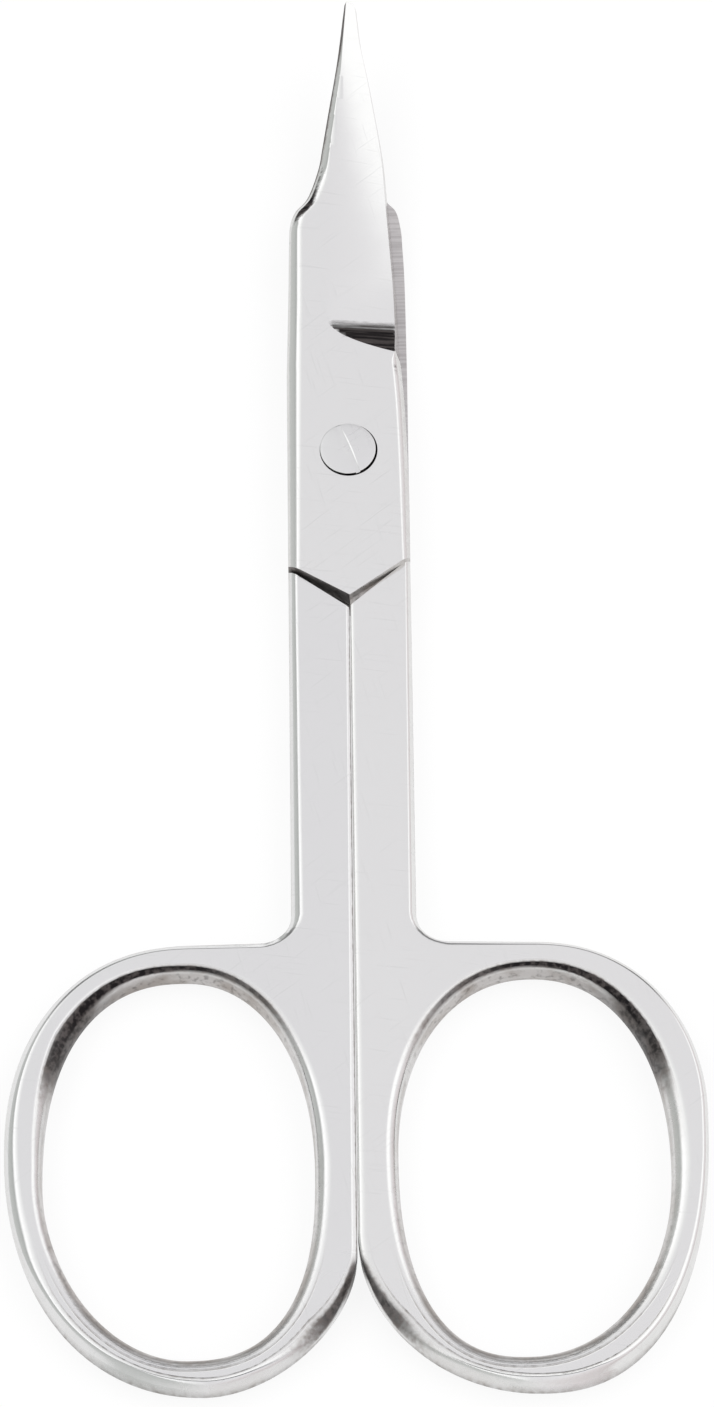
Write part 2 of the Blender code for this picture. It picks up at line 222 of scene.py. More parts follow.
def table_value(value: float, places: list[float], results: list[float]) -> float:
    """Reads a result off straight stretches between rising places.

    Args:
        value: Where to read it.
        places: Rising places.
        results: What holds at each place.

    Returns:
        The result there, level beyond both ends.
    """
    if value <= places[0]:
        return results[0]
    for i in range(len(places) - 1):
        if value <= places[i + 1]:
            share = (value - places[i]) / (places[i + 1] - places[i])
            return results[i] + share * (results[i + 1] - results[i])
    return results[-1]


def placed(name: str, data: bpy.types.ID) -> bpy.types.Object:
    """Puts data in the scene as a new object.

    Args:
        name: The object's name.
        data: Its mesh, lamp or camera.

    Returns:
        The object.
    """
    obj = bpy.data.objects.new(name, data)
    bpy.context.scene.collection.objects.link(obj)
    return obj


def linked(name: str, work: bmesh.types.BMesh) -> bpy.types.Object:
    """Puts a bmesh in the scene as a new object, welded and with its faces outwards.

    Args:
        name: The object's name.
        work: The bmesh, which is freed.

    Returns:
        The object.
    """
    bmesh.ops.remove_doubles(work, verts=work.verts, dist=SAME_PLACE)
    bmesh.ops.recalc_face_normals(work, faces=work.faces)
    mesh = bpy.data.meshes.new(name)
    work.to_mesh(mesh)
    work.free()
    return placed(name, mesh)


def verts_of(result: dict[str, list]) -> list[bmesh.types.BMVert]:
    """The vertices among what a bmesh operator made."""
    return [item for item in result["geom"] if isinstance(item, bmesh.types.BMVert)]


def wire_loop(work: bmesh.types.BMesh, places: list[Vector]) -> list[bmesh.types.BMVert]:
    """A closed loop of edges through places.

    Args:
        work: The bmesh that gets it.
        places: Its points, in order.

    Returns:
        Its vertices, in order.
    """
    ring = [work.verts.new(place) for place in places]
    for i, vert in enumerate(ring):
        work.edges.new((ring[i - 1], vert))
    return ring


def loop_edges(work: bmesh.types.BMesh, ring: list[bmesh.types.BMVert]) -> list[bmesh.types.BMEdge]:
    """The edges of a closed loop of vertices."""
    return [work.edges.get((ring[i - 1], vert)) for i, vert in enumerate(ring)]


def raised(
    work: bmesh.types.BMesh, ring: list[bmesh.types.BMVert], places: list[Vector]
) -> list[bmesh.types.BMVert]:
    """Extrudes a closed loop and moves the new one into place.

    Args:
        work: The bmesh.
        ring: The loop's vertices, in order.
        places: Where the new loop's points go, in the same order.

    Returns:
        The new loop's vertices, in the same order.
    """
    fresh = set(verts_of(bmesh.ops.extrude_edge_only(work, edges=loop_edges(work, ring))))
    lifted = []
    for vert in ring:
        others = (edge.other_vert(vert) for edge in vert.link_edges)
        lifted.append(next(other for other in others if other in fresh))
    for vert, place in zip(lifted, places):
        vert.co = place
    return lifted


def block(name: str, outline: list[Vector], low: float, high: float) -> bpy.types.Object:
    """A sharp-edged block with an outline in plan between two heights, for cutting.

    Args:
        name: Its name.
        outline: Its outline, in order.
        low: The height of its underside.
        high: The height of its top.

    Returns:
        The block.
    """
    work = bmesh.new()
    wire_loop(work, [Vector((point.x, point.y, low)) for point in outline])
    base = bmesh.ops.contextual_create(work, geom=work.edges[:])["faces"]
    top = verts_of(bmesh.ops.extrude_face_region(work, geom=base, use_keep_orig=True))
    bmesh.ops.translate(work, vec=(0.0, 0.0, high - low), verts=top)
    return linked(name, work)


def cylinder(name: str, radius: float, low: float, high: float, steps: int) -> bpy.types.Object:
    """An upright cylinder on the pivot, for cutting.

    Args:
        name: Its name.
        radius: Its radius.
        low: The height of its underside.
        high: The height of its top.
        steps: Its sides.

    Returns:
        The cylinder.
    """
    work = bmesh.new()
    bmesh.ops.create_cone(
        work, cap_ends=True, segments=steps, radius1=radius, radius2=radius, depth=high - low,
        matrix=Matrix.Translation((0.0, 0.0, (low + high) / 2)),
    )
    return linked(name, work)


def combine(target: bpy.types.Object, tool: bpy.types.Object, joining: Joining) -> bpy.types.Object:
    """Joins a tool to the target or cuts it out, and removes the tool.

    Args:
        target: The object that changes, which is removed.
        tool: The object that it is joined with or cut by.
        joining: Which of the two.

    Returns:
        The new object under the target's name.
    """
    modifier = target.modifiers.new(tool.name, "BOOLEAN")
    modifier.operation = joining.value
    modifier.solver = "EXACT"
    modifier.object = tool
    bpy.context.view_layer.update()
    graph = bpy.context.evaluated_depsgraph_get()
    mesh = bpy.data.meshes.new_from_object(target.evaluated_get(graph))
    name = target.name
    for used in (target, tool):
        bpy.data.objects.remove(used, do_unlink=True)
    return placed(name, mesh)


def shade_evenly(mesh: bpy.types.Mesh) -> None:
    """Shades a mesh smoothly but keeps its level faces level up to their rims.

    Args:
        mesh: The mesh, which gets its own corner normals.
    """
    mesh.shade_smooth()
    mesh.set_sharp_from_angle(angle=SHARP_ANGLE)
    normals = [item.vector.copy() for item in mesh.corner_normals]
    level = {}
    for face in mesh.polygons:
        if abs(face.normal.z) > LEVEL:
            level.update({index: face.normal.copy() for index in face.vertices})
    for face in mesh.polygons:
        for corner in face.loop_indices:
            normal = level.get(mesh.loops[corner].vertex_index)
            if normal and normal.dot(face.normal) > math.cos(SHARP_ANGLE):
                normals[corner] = normal
    mesh.normals_split_custom_set(normals)


@dataclass(frozen=True)
class Lap:
    """The lap joint, whose sizes both halves and the screw share.

    Attributes:
        pivot: Where the pivot is in the finished object, at the height between the plates.
        half_width: Half the width of a joint plate, and the width of a shank.
        plate: The thickness of a joint plate.
        gap: The play between the two plates.
        v_depth: How far below the pivot the V of the plate's end lies.
        v_rise: How far the V's arms rise to the sides.
        v_side_gap: The gap between end wall and shoulder at the sides.
        v_vertex_gap: The same gap in the middle.
    """

    pivot: Vector
    half_width: float = 3.92 * MM
    plate: float = 1.65 * MM
    gap: float = 0.06 * MM
    v_depth: float = 10.35 * MM
    v_rise: float = 2.25 * MM
    v_side_gap: float = 0.15 * MM
    v_vertex_gap: float = 0.65 * MM

    @property
    def step_level(self) -> float:
        """How far below the pivot the V's right arm ends, next to the other half's step."""
        return self.v_depth - self.v_rise + self.v_side_gap - self.v_vertex_gap

    def v_cutter(
        self, name: str, levels: tuple[float, float, float], far: float, low: float, high: float
    ) -> bpy.types.Object:
        """A cutter that ends in a V across the joint, and runs on past the sides.

        Args:
            name: Its name.
            levels: How far below the pivot the V lies at the left side, its vertex and the right side.
            far: The y of its other end.
            low: The height of its underside.
            high: The height of its top.

        Returns:
            The cutter.
        """
        left, middle, right = levels
        reach = self.half_width + OVERRUN
        stretch = reach / self.half_width
        outline = [
            Vector((-reach, -middle + (middle - left) * stretch)),
            Vector((0.0, -middle)),
            Vector((reach, -middle + (middle - right) * stretch)),
            Vector((reach, far)),
            Vector((-reach, far)),
        ]
        return block(name, outline, low, high)


@dataclass
class Half:
    """One forged half: blade, joint plate, shank and finger ring in one piece.

    A rim is its width in plan, its height, how far its side leans in and how tight its corner is.

    Attributes:
        lap: The joint that it shares with the other half.
        side: Whether it is the front or the back half.
        spine_shares: The blade's back from the plate to the tip, as shares of half the joint's width and
            of the blade's reach.
        edge_shares: The cutting edge from the tip to the plate, in the same shares.
        ring: The ring's outer oval.
        hole: The finger hole's oval.
        ring_rims: The rims round the ring.
        hole_rims: The rims round the finger hole.
        blade_reach: From the pivot to the tip.
        handle_reach: From the pivot to the ring's lower end.
        shank: The thickness of shank and ring.
        handle_gap: The gap between the two shanks.
        plate_rim: The rim of joint plate and blade.
        shank_rim: The rim on the shank's outer side, in millimetres.
        edge_rim: The rim's width on the plate's edge side.
        under_rim: The finger hole's under rim, as shares of the upper one's width and height.
        edge_change: Where along the blade, as a share of its reach, that rim gives way to the ground edge.
        tip_rim_share: The rim's width at the tip, as a share of that at the plate.
        tip_room: The most of the blade's width that the rim of its back takes up.
        edge_blend: The width below which a rim gets lower too.
        face_margin: How wide a strip inside the rims keeps the flat faces' shading level.
        groove_width: The width of the groove that a file leaves at the foot of the step.
        groove_depth: How deep it is.
        groove_share: How far out it runs, as a share of half the joint's width.
        edge_lean: How far the ground edge's wall leans in for its height.
        tip_lean_share: The same at the tip, as a share.
        runout_reach: From the pivot to the near end of the blade's ground face.
        runout_radius: The round that the wheel leaves there.
        crown: Four times what the ground face swells by.
        crown_run: How far from its near end that face swells in full.
        edge_drop: How much lower the ground face is at the joint's side.
        grind_start_share: Where it starts across the joint, as a share of half the joint's width.
        bend_start: From the pivot to where the blade starts to bend.
        bend_step: The length of a facet of the bend.
        tip_rise: How far the bend lifts the tip.
        tip_thickness: The blade's thickness at the tip.
        thinning: The exponent of its thinning towards the tip.
        inner_relief: How far the inner face is hollowed at the blade's back.
        relief_rise_share: Where along the bend the hollow has its full depth.
        ring_reach: From the middle to the ring's outer side.
        ring_length: The ring's length.
        band_outer: The width of the ring's band at its outer side.
        band_inner: The same at its inner side.
        band_top: The same at its top.
        band_bottom: The same at its lower end.
        shoulder_radius: The round between shank and ring.
        rim_steps: The facets of a rim.
        oval_steps: The points of a quarter oval.
        run_steps: The points of each stretch of the blade's outline.
        wheel_steps: The facets of the wheel's round.
        bend_columns: How many strips the blade has across it.
    """

    lap: Lap
    side: Side
    spine_shares: tuple[tuple[float, float], ...]
    edge_shares: tuple[tuple[float, float], ...]
    ring: Oval
    hole: Oval
    ring_rims: tuple[RimRow, ...]
    hole_rims: tuple[RimRow, ...]
    blade_reach: float = 31.6 * MM
    handle_reach: float = 63.2 * MM
    shank: float = 2.1 * MM
    handle_gap: float = 0.05 * MM
    plate_rim: Vector = field(default_factory=lambda: Vector((1.1 * MM, 0.55 * MM, 0.45, 0.9)))
    shank_rim: Vector = field(default_factory=lambda: Vector((0.85, 0.55, 0.4, 0.9)))
    edge_rim: float = 0.68 * MM
    under_rim: Vector = field(default_factory=lambda: Vector((0.5, 0.35)))
    edge_change: Range = (0.2, 0.235)
    tip_rim_share: float = 0.6
    tip_room: float = 0.35
    edge_blend: float = 0.3 * MM
    face_margin: float = 0.06 * MM
    groove_width: float = 0.5 * MM
    groove_depth: float = 0.3 * MM
    groove_share: float = 0.85
    edge_lean: float = 0.25
    tip_lean_share: float = 0.3
    runout_reach: float = 9.65 * MM
    runout_radius: float = 6.0 * MM
    crown: float = 0.43 * MM
    crown_run: float = 4.0 * MM
    edge_drop: float = 0.7 * MM
    grind_start_share: float = -0.33
    bend_start: float = 8.0 * MM
    bend_step: float = 0.3 * MM
    tip_rise: float = 4.0 * MM
    tip_thickness: float = 1.0 * MM
    thinning: float = 1.4
    inner_relief: float = 0.12 * MM
    relief_rise_share: float = 0.15
    ring_reach: float = 21.75 * MM
    ring_length: float = 29.2 * MM
    band_outer: float = 2.35 * MM
    band_inner: float = 2.55 * MM
    band_top: float = 2.0 * MM
    band_bottom: float = 2.25 * MM
    shoulder_radius: float = 1.95 * MM
    rim_steps: int = 10
    oval_steps: int = 36
    run_steps: int = 8
    wheel_steps: int = 60
    bend_columns: int = 18

    @property
    def name(self) -> str:
        """The piece's name, which says which half it is."""
        return f"{self.side.name.lower()}_blade_and_handle"

    @property
    def ring_top(self) -> float:
        """The height in plan of the ring's top, which is negative."""
        return self.ring_length - self.handle_reach

    @property
    def ring_middle(self) -> float:
        """The x of the ring's middle."""
        return (self.handle_gap / 2 + self.ring_reach) / 2

    @property
    def ring_centre(self) -> Vector:
        """The middle of the ring."""
        return Vector((self.ring_middle, -self.handle_reach + self.ring_length / 2, 0.0))

    @property
    def grind_start(self) -> float:
        """The x at which the blade's ground face starts."""
        return self.grind_start_share * self.lap.half_width

    def build(self) -> bpy.types.Object:
        """Models the half in its place in the finished object.

        Returns:
            The piece, with its finish marks and painted shade, not yet dressed.
        """
        piece = combine(self.blank(), self.plate_end(), Joining.CUT)
        piece = combine(piece, self.arm(), Joining.ADD)
        cutters = (self.mating_room(), self.shoulder_groove(), self.grinding_wheel(), *self.screw_room())
        for cutter in cutters:
            piece = combine(piece, cutter, Joining.CUT)
        piece.name = self.name
        self.shape_blade(piece.data)
        FinishAndShadeMarks(self).store(piece.data)
        if self.side is Side.BACK:
            piece.data.transform(Matrix.Rotation(math.pi, 4, "Y"))
        piece.data.transform(Matrix.Translation(self.lap.pivot))
        shade_evenly(piece.data)
        return piece

    def rim(self) -> list[Vector]:
        """The outline of joint plate and blade, up the spine, round the tip and down the edge.

        Returns:
            Points of x, y, the width of the outer rim, and how far the side leans in per height.
        """
        width, reach = self.lap.half_width, self.blade_reach
        shares = (*self.spine_shares, *self.edge_shares)
        places = [Vector((across * width, along * reach)) for across, along in shares]
        tip = len(self.spine_shares) * self.run_steps
        points = []
        for i, point in enumerate(smooth_run(places, self.run_steps)):
            along = max(point.y / reach, 0.0)
            ground = ease(along, *self.edge_change)
            wide, lean = self.edge_rim * (1.0 - ground), self.edge_lean * ground
            if i <= tip:
                wide = self.plate_rim.x * (1.0 - (1.0 - self.tip_rim_share) * along)
                wide = min(wide, self.tip_room * (self.edge_x(point.y) - point.x))
                lean = 0.0
            lean *= 1.0 - (1.0 - self.tip_lean_share) * along
            points.append(Vector((point.x, point.y, wide, lean)))
        low = -(self.lap.v_depth + OVERRUN)
        foot = [Vector((-width, low, self.plate_rim.x, 0.0)), Vector((width, low, self.edge_rim, 0.0))]
        return [foot[0], *points, foot[1]]

    def blank(self) -> bpy.types.Object:
        """Models joint plate and blade as one flat blank above the mating face, its outer rim rounded.

        Returns:
            The blank.
        """
        rim = self.rim()
        inward = inward_normals(rim)
        low = self.lap.gap / 2
        work = bmesh.new()
        ring = wire_loop(work, [Vector((point.x, point.y, low)) for point in rim])
        bmesh.ops.contextual_create(work, geom=loop_edges(work, ring))
        for step in range(self.rim_steps + 2):
            share = min(step / self.rim_steps, 1.0)
            spare = self.face_margin if step > self.rim_steps else 0.0
            places = []
            for point, normal in zip(rim, inward):
                wide = max(point.z, 0.0)
                full = min(wide / self.edge_blend, 1.0)
                section = Vector((wide, self.plate_rim.y * full, self.plate_rim.z, self.plate_rim.w))
                inset, rise = rim_point(section, share)
                shoulder = self.lap.plate - section.y
                inset += point.w * (shoulder - low) + spare
                places.append(set_in(point, normal, inset, shoulder + rise))
            ring = raised(work, ring, places)
        bmesh.ops.contextual_create(work, geom=loop_edges(work, ring))
        return linked(f"{self.name}_blank", work)

    def arm_rim(self, point: Vector, in_hole: bool) -> Vector:
        """The section of the arm's rim at a point of its outline.

        Args:
            point: The point.
            in_hole: Whether it lies on the finger hole's outline and not on the outer one.

        Returns:
            The rim's width in plan, its height, its lean and its tightness.
        """
        from_middle = point.y + self.handle_reach - self.ring_length / 2
        turn = turn_of(point.x - self.ring_middle, from_middle)
        table = self.hole_rims if in_hole else self.ring_rims
        rim = table_value(turn, [row[0] for row in table], [Vector(row[1:]) for row in table])
        if not in_hole and point.x > self.lap.half_width / 2:
            up_shoulder = ease(point.y, self.ring_top, self.ring_top + self.shoulder_radius)
            rim = rim.lerp(self.shank_rim, up_shoulder)
        return Vector((rim.x * MM, rim.y * MM, rim.z, rim.w))

    def arm_outline(self) -> list[Vector]:
        """Draws the arm from the gap round the ring to its top, and up the shoulder and the shank.

        Returns:
            The outline's points.
        """
        lap, inner, top = self.lap, self.handle_gap / 2, self.ring_top
        oval = self.ring.points(inner, self.ring_reach, -self.handle_reach, top, self.oval_steps)
        # The oval's fourth quarter is left out, because the shank goes up there.
        outline = oval[: 3 * self.oval_steps]
        outline.append(Vector((inner + self.ring.top_share * (self.ring_reach - inner), top)))
        centre = Vector((lap.half_width + self.shoulder_radius, top + self.shoulder_radius))
        sides = (-self.shoulder_radius, -self.shoulder_radius)
        outline += quarter(tuple(centre), sides, 2.0, self.run_steps, True)
        neck = -(lap.v_depth - lap.v_rise - OVERRUN)
        corners = ((lap.half_width, centre.y), (lap.half_width, neck), (inner, neck))
        return outline + [Vector(corner) for corner in corners]

    def hole_outline(self) -> list[Vector]:
        """Draws the finger hole.

        Returns:
            The outline's points.
        """
        return self.hole.points(
            self.handle_gap / 2 + self.band_inner, self.ring_reach - self.band_outer,
            self.band_bottom - self.handle_reach, self.ring_top - self.band_top, self.oval_steps,
        )

    def arm_wall(
        self, work: bmesh.types.BMesh, outline: list[Vector], in_hole: bool
    ) -> tuple[list[bmesh.types.BMEdge], list[bmesh.types.BMEdge]]:
        """Raises a wall of the arm with its two rims.

        Args:
            work: The bmesh that gets it.
            outline: The wall's outline in plan.
            in_hole: Whether it is the finger hole's and not the outer one.

        Returns:
            The edges round its under face, and those round its upper face.
        """
        sense = -1.0 if in_hole else 1.0
        normals = inward_normals(outline)
        rims = [self.arm_rim(point, in_hole) for point in outline]
        loops: list[list[bmesh.types.BMVert]] = []
        for step in range(-self.rim_steps - 2, self.rim_steps + 2):
            turn = step if step >= 0 else -step - 1
            share = min(turn / self.rim_steps, 1.0)
            spare = self.face_margin if turn > self.rim_steps else 0.0
            # The back half is drawn turned over, so its under rims are the upper ones here.
            under = in_hole and (step < 0) is (self.side is Side.FRONT)
            places = []
            for point, normal, rim in zip(outline, normals, rims):
                if under:
                    rim = Vector((rim.x * self.under_rim.x, rim.y * self.under_rim.y, rim.z, rim.w))
                inset, rise = rim_point(rim, share)
                height = self.shank / 2 - rim.y + rise
                height = height if step >= 0 else -height
                places.append(set_in(point, normal, sense * (inset + spare), height))
            loops.append(raised(work, loops[-1], places) if loops else wire_loop(work, places))
        return loop_edges(work, loops[0]), loop_edges(work, loops[-1])

    def arm(self) -> bpy.types.Object:
        """Models shank and finger ring, rounded along every rim.

        Returns:
            The arm.
        """
        work = bmesh.new()
        outer = self.arm_wall(work, self.arm_outline(), False)
        inner = self.arm_wall(work, self.hole_outline(), True)
        for outer_edges, inner_edges in zip(outer, inner):
            bmesh.ops.triangle_fill(work, use_beauty=True, edges=outer_edges + inner_edges)
        return linked(f"{self.name}_arm", work)

    def plate_end(self) -> bpy.types.Object:
        """Models what is cut off the joint plate below the V of its end.

        Returns:
            The cutter.
        """
        lap = self.lap
        levels = (lap.v_depth - lap.v_rise, lap.v_depth, lap.step_level)
        reach = lap.plate + OVERRUN
        return lap.v_cutter("plate_end", levels, -(lap.v_depth + 2 * OVERRUN), -reach, reach)

    def mating_room(self) -> bpy.types.Object:
        """Models the room that the other half's plate and blade take up below the mating face.

        Returns:
            The cutter.
        """
        lap = self.lap
        side = lap.v_depth - lap.v_rise + lap.v_side_gap
        levels = (side, lap.v_depth + lap.v_vertex_gap, side)
        low = -(lap.plate + OVERRUN)
        return lap.v_cutter("mating_room", levels, self.blade_reach + OVERRUN, low, lap.gap / 2)

    def shoulder_groove(self) -> bpy.types.Object:
        """Models the groove that a file leaves along the foot of the step, which narrows outwards.

        Returns:
            The cutter.
        """
        lap = self.lap
        rise = (lap.v_depth - lap.step_level) * self.groove_share
        vertex = Vector((0.0, -lap.v_depth))
        ending = Vector((self.groove_share * lap.half_width, rise - lap.v_depth))
        outline = [vertex, vertex - Vector((0.0, self.groove_width)), ending]
        face = self.shank / 2
        # It stands only just above the face, because the plate's end rises from the groove's edge.
        return block("groove", outline, face - self.groove_depth, face + SAME_PLACE + lap.gap)

    def grinding_wheel(self) -> bpy.types.Object:
        """Models what the wheel takes off the blade's outer face, with its round at the near end.

        Returns:
            The cutter.
        """
        radius, reach = self.runout_radius, self.blade_reach
        drawn = quarter((0.0, radius), (-radius, -radius), 2.0, self.wheel_steps, True)
        drawn += [Vector((-radius, radius)), Vector((reach, radius)), Vector((reach, 0.0))]
        width = self.lap.half_width + OVERRUN
        wheel = block("wheel", drawn, -width, width)
        tilt = math.atan2(self.edge_drop, self.lap.half_width - self.grind_start)
        # This turn takes x to y, y to z and z to x, so that what was drawn in plan stands along the blade.
        stood_up = Matrix.Rotation(math.radians(120.0), 4, Vector((1.0, 1.0, 1.0)))
        corner = Matrix.Translation((self.grind_start, self.runout_reach, self.lap.plate))
        wheel.data.transform(corner @ Matrix.Rotation(tilt, 4, "Y") @ stood_up)
        return wheel

    def screw_room(self) -> list[bpy.types.Object]:
        """Models the holes that the screw sits in, which differ between the halves.

        Returns:
            The cutters.
        """
        screw = PivotScrew(self.lap)
        high = self.lap.plate + OVERRUN
        if self.side is Side.BACK:
            return [cylinder("thread_hole", screw.thread + screw.play, -high, high, screw.turns)]
        floor = self.lap.plate - screw.recess
        recess = cylinder("head_recess", screw.head + screw.head_play, floor, high, screw.turns)
        recess.data.transform(Matrix.Translation(screw.off_centre))
        return [
            recess,
            cylinder("journal_hole", screw.journal + screw.play, -OVERRUN, high, screw.turns),
        ]

    def outline_x(self, shares: tuple[tuple[float, float], ...], y: float) -> float:
        """Reads off how far across the blade's outline lies.

        Args:
            shares: The outline in shares, from the plate to the tip.
            y: The place along the blade.

        Returns:
            The outline's x there, in the half's own frame.
        """
        across = table_value(y / self.blade_reach, [row[1] for row in shares], [row[0] for row in shares])
        return across * self.lap.half_width

    def spine_x(self, y: float) -> float:
        """The x of the blade's back at a place along it."""
        return self.outline_x(self.spine_shares, y)

    def edge_x(self, y: float) -> float:
        """The x of the cutting edge at a place along it."""
        return self.outline_x(self.edge_shares[::-1], y)

    def bend(self, y: float) -> float:
        """Follows the round of the blade's bend.

        Args:
            y: A place along the blade.

        Returns:
            How far the bend lifts it.
        """
        run = self.blade_reach - self.bend_start
        radius = (run ** 2 + self.tip_rise ** 2) / (2 * self.tip_rise)
        return radius - math.sqrt(radius ** 2 - max(y - self.bend_start, 0.0) ** 2)

    def shape_blade(self, mesh: bpy.types.Mesh) -> None:
        """Thins the blade towards its tip, relieves its inner face and bends it.

        Args:
            mesh: The flat half's mesh, which changes.
        """
        work = bmesh.new()
        work.from_mesh(mesh)
        bmesh.ops.remove_doubles(work, verts=work.verts, dist=SAME_PLACE)
        run = self.blade_reach - self.bend_start
        stations = math.ceil(run / self.bend_step)
        for step in range(stations):
            bmesh.ops.bisect_plane(
                work, geom=work.verts[:] + work.edges[:] + work.faces[:], dist=SAME_PLACE,
                plane_co=(0.0, self.bend_start + run * step / stations, 0.0), plane_no=(0.0, 1.0, 0.0),
            )
        for step in range(1, self.bend_columns):
            across = self.lap.half_width * (2 * step / self.bend_columns - 1.0)
            parts = dict.fromkeys(
                item for face in self.bent_faces(work) for item in (*face.verts, *face.edges, face)
            )
            bmesh.ops.bisect_plane(
                work, geom=list(parts), dist=SAME_PLACE,
                plane_co=(across, 0.0, 0.0), plane_no=(1.0, 0.0, 0.0),
            )
        bmesh.ops.triangulate(work, faces=self.bent_faces(work))
        for vert in work.verts:
            vert.co.z = self.blade_height(vert.co)
        work.to_mesh(mesh)
        work.free()

    def bent_faces(self, work: bmesh.types.BMesh) -> list[bmesh.types.BMFace]:
        """The faces of the half that lie where the blade bends."""
        return [face for face in work.faces if face.calc_center_median().y > self.bend_start]

    def blade_height(self, place: Vector) -> float:
        """Finds how high a point of the flat half lies once the blade is thinned, relieved and bent.

        Args:
            place: The point.

        Returns:
            Its new height.
        """
        x, y, z = place
        face = self.lap.gap / 2
        along = max(y - self.bend_start, 0.0) / (self.blade_reach - self.bend_start)
        if along > 0.0:
            spine, edge = self.spine_x(y), self.edge_x(y)
            if z < face + SAME_PLACE:
                to_spine = held((edge - x) / (edge - spine))
                z = face + self.inner_relief * to_spine * min(along / self.relief_rise_share, 1.0)
            else:
                crowned = held((x - self.grind_start) / (edge - self.grind_start))
                full = ease(y, self.runout_reach, self.runout_reach + self.crown_run)
                z += self.crown * crowned * (1.0 - crowned) * full * (z - face) / self.lap.plate
                left = 1.0 - (1.0 - self.tip_thickness / self.lap.plate) * along ** self.thinning
                z = face + (z - face) * left
        return z + self.side.value * self.bend(y)


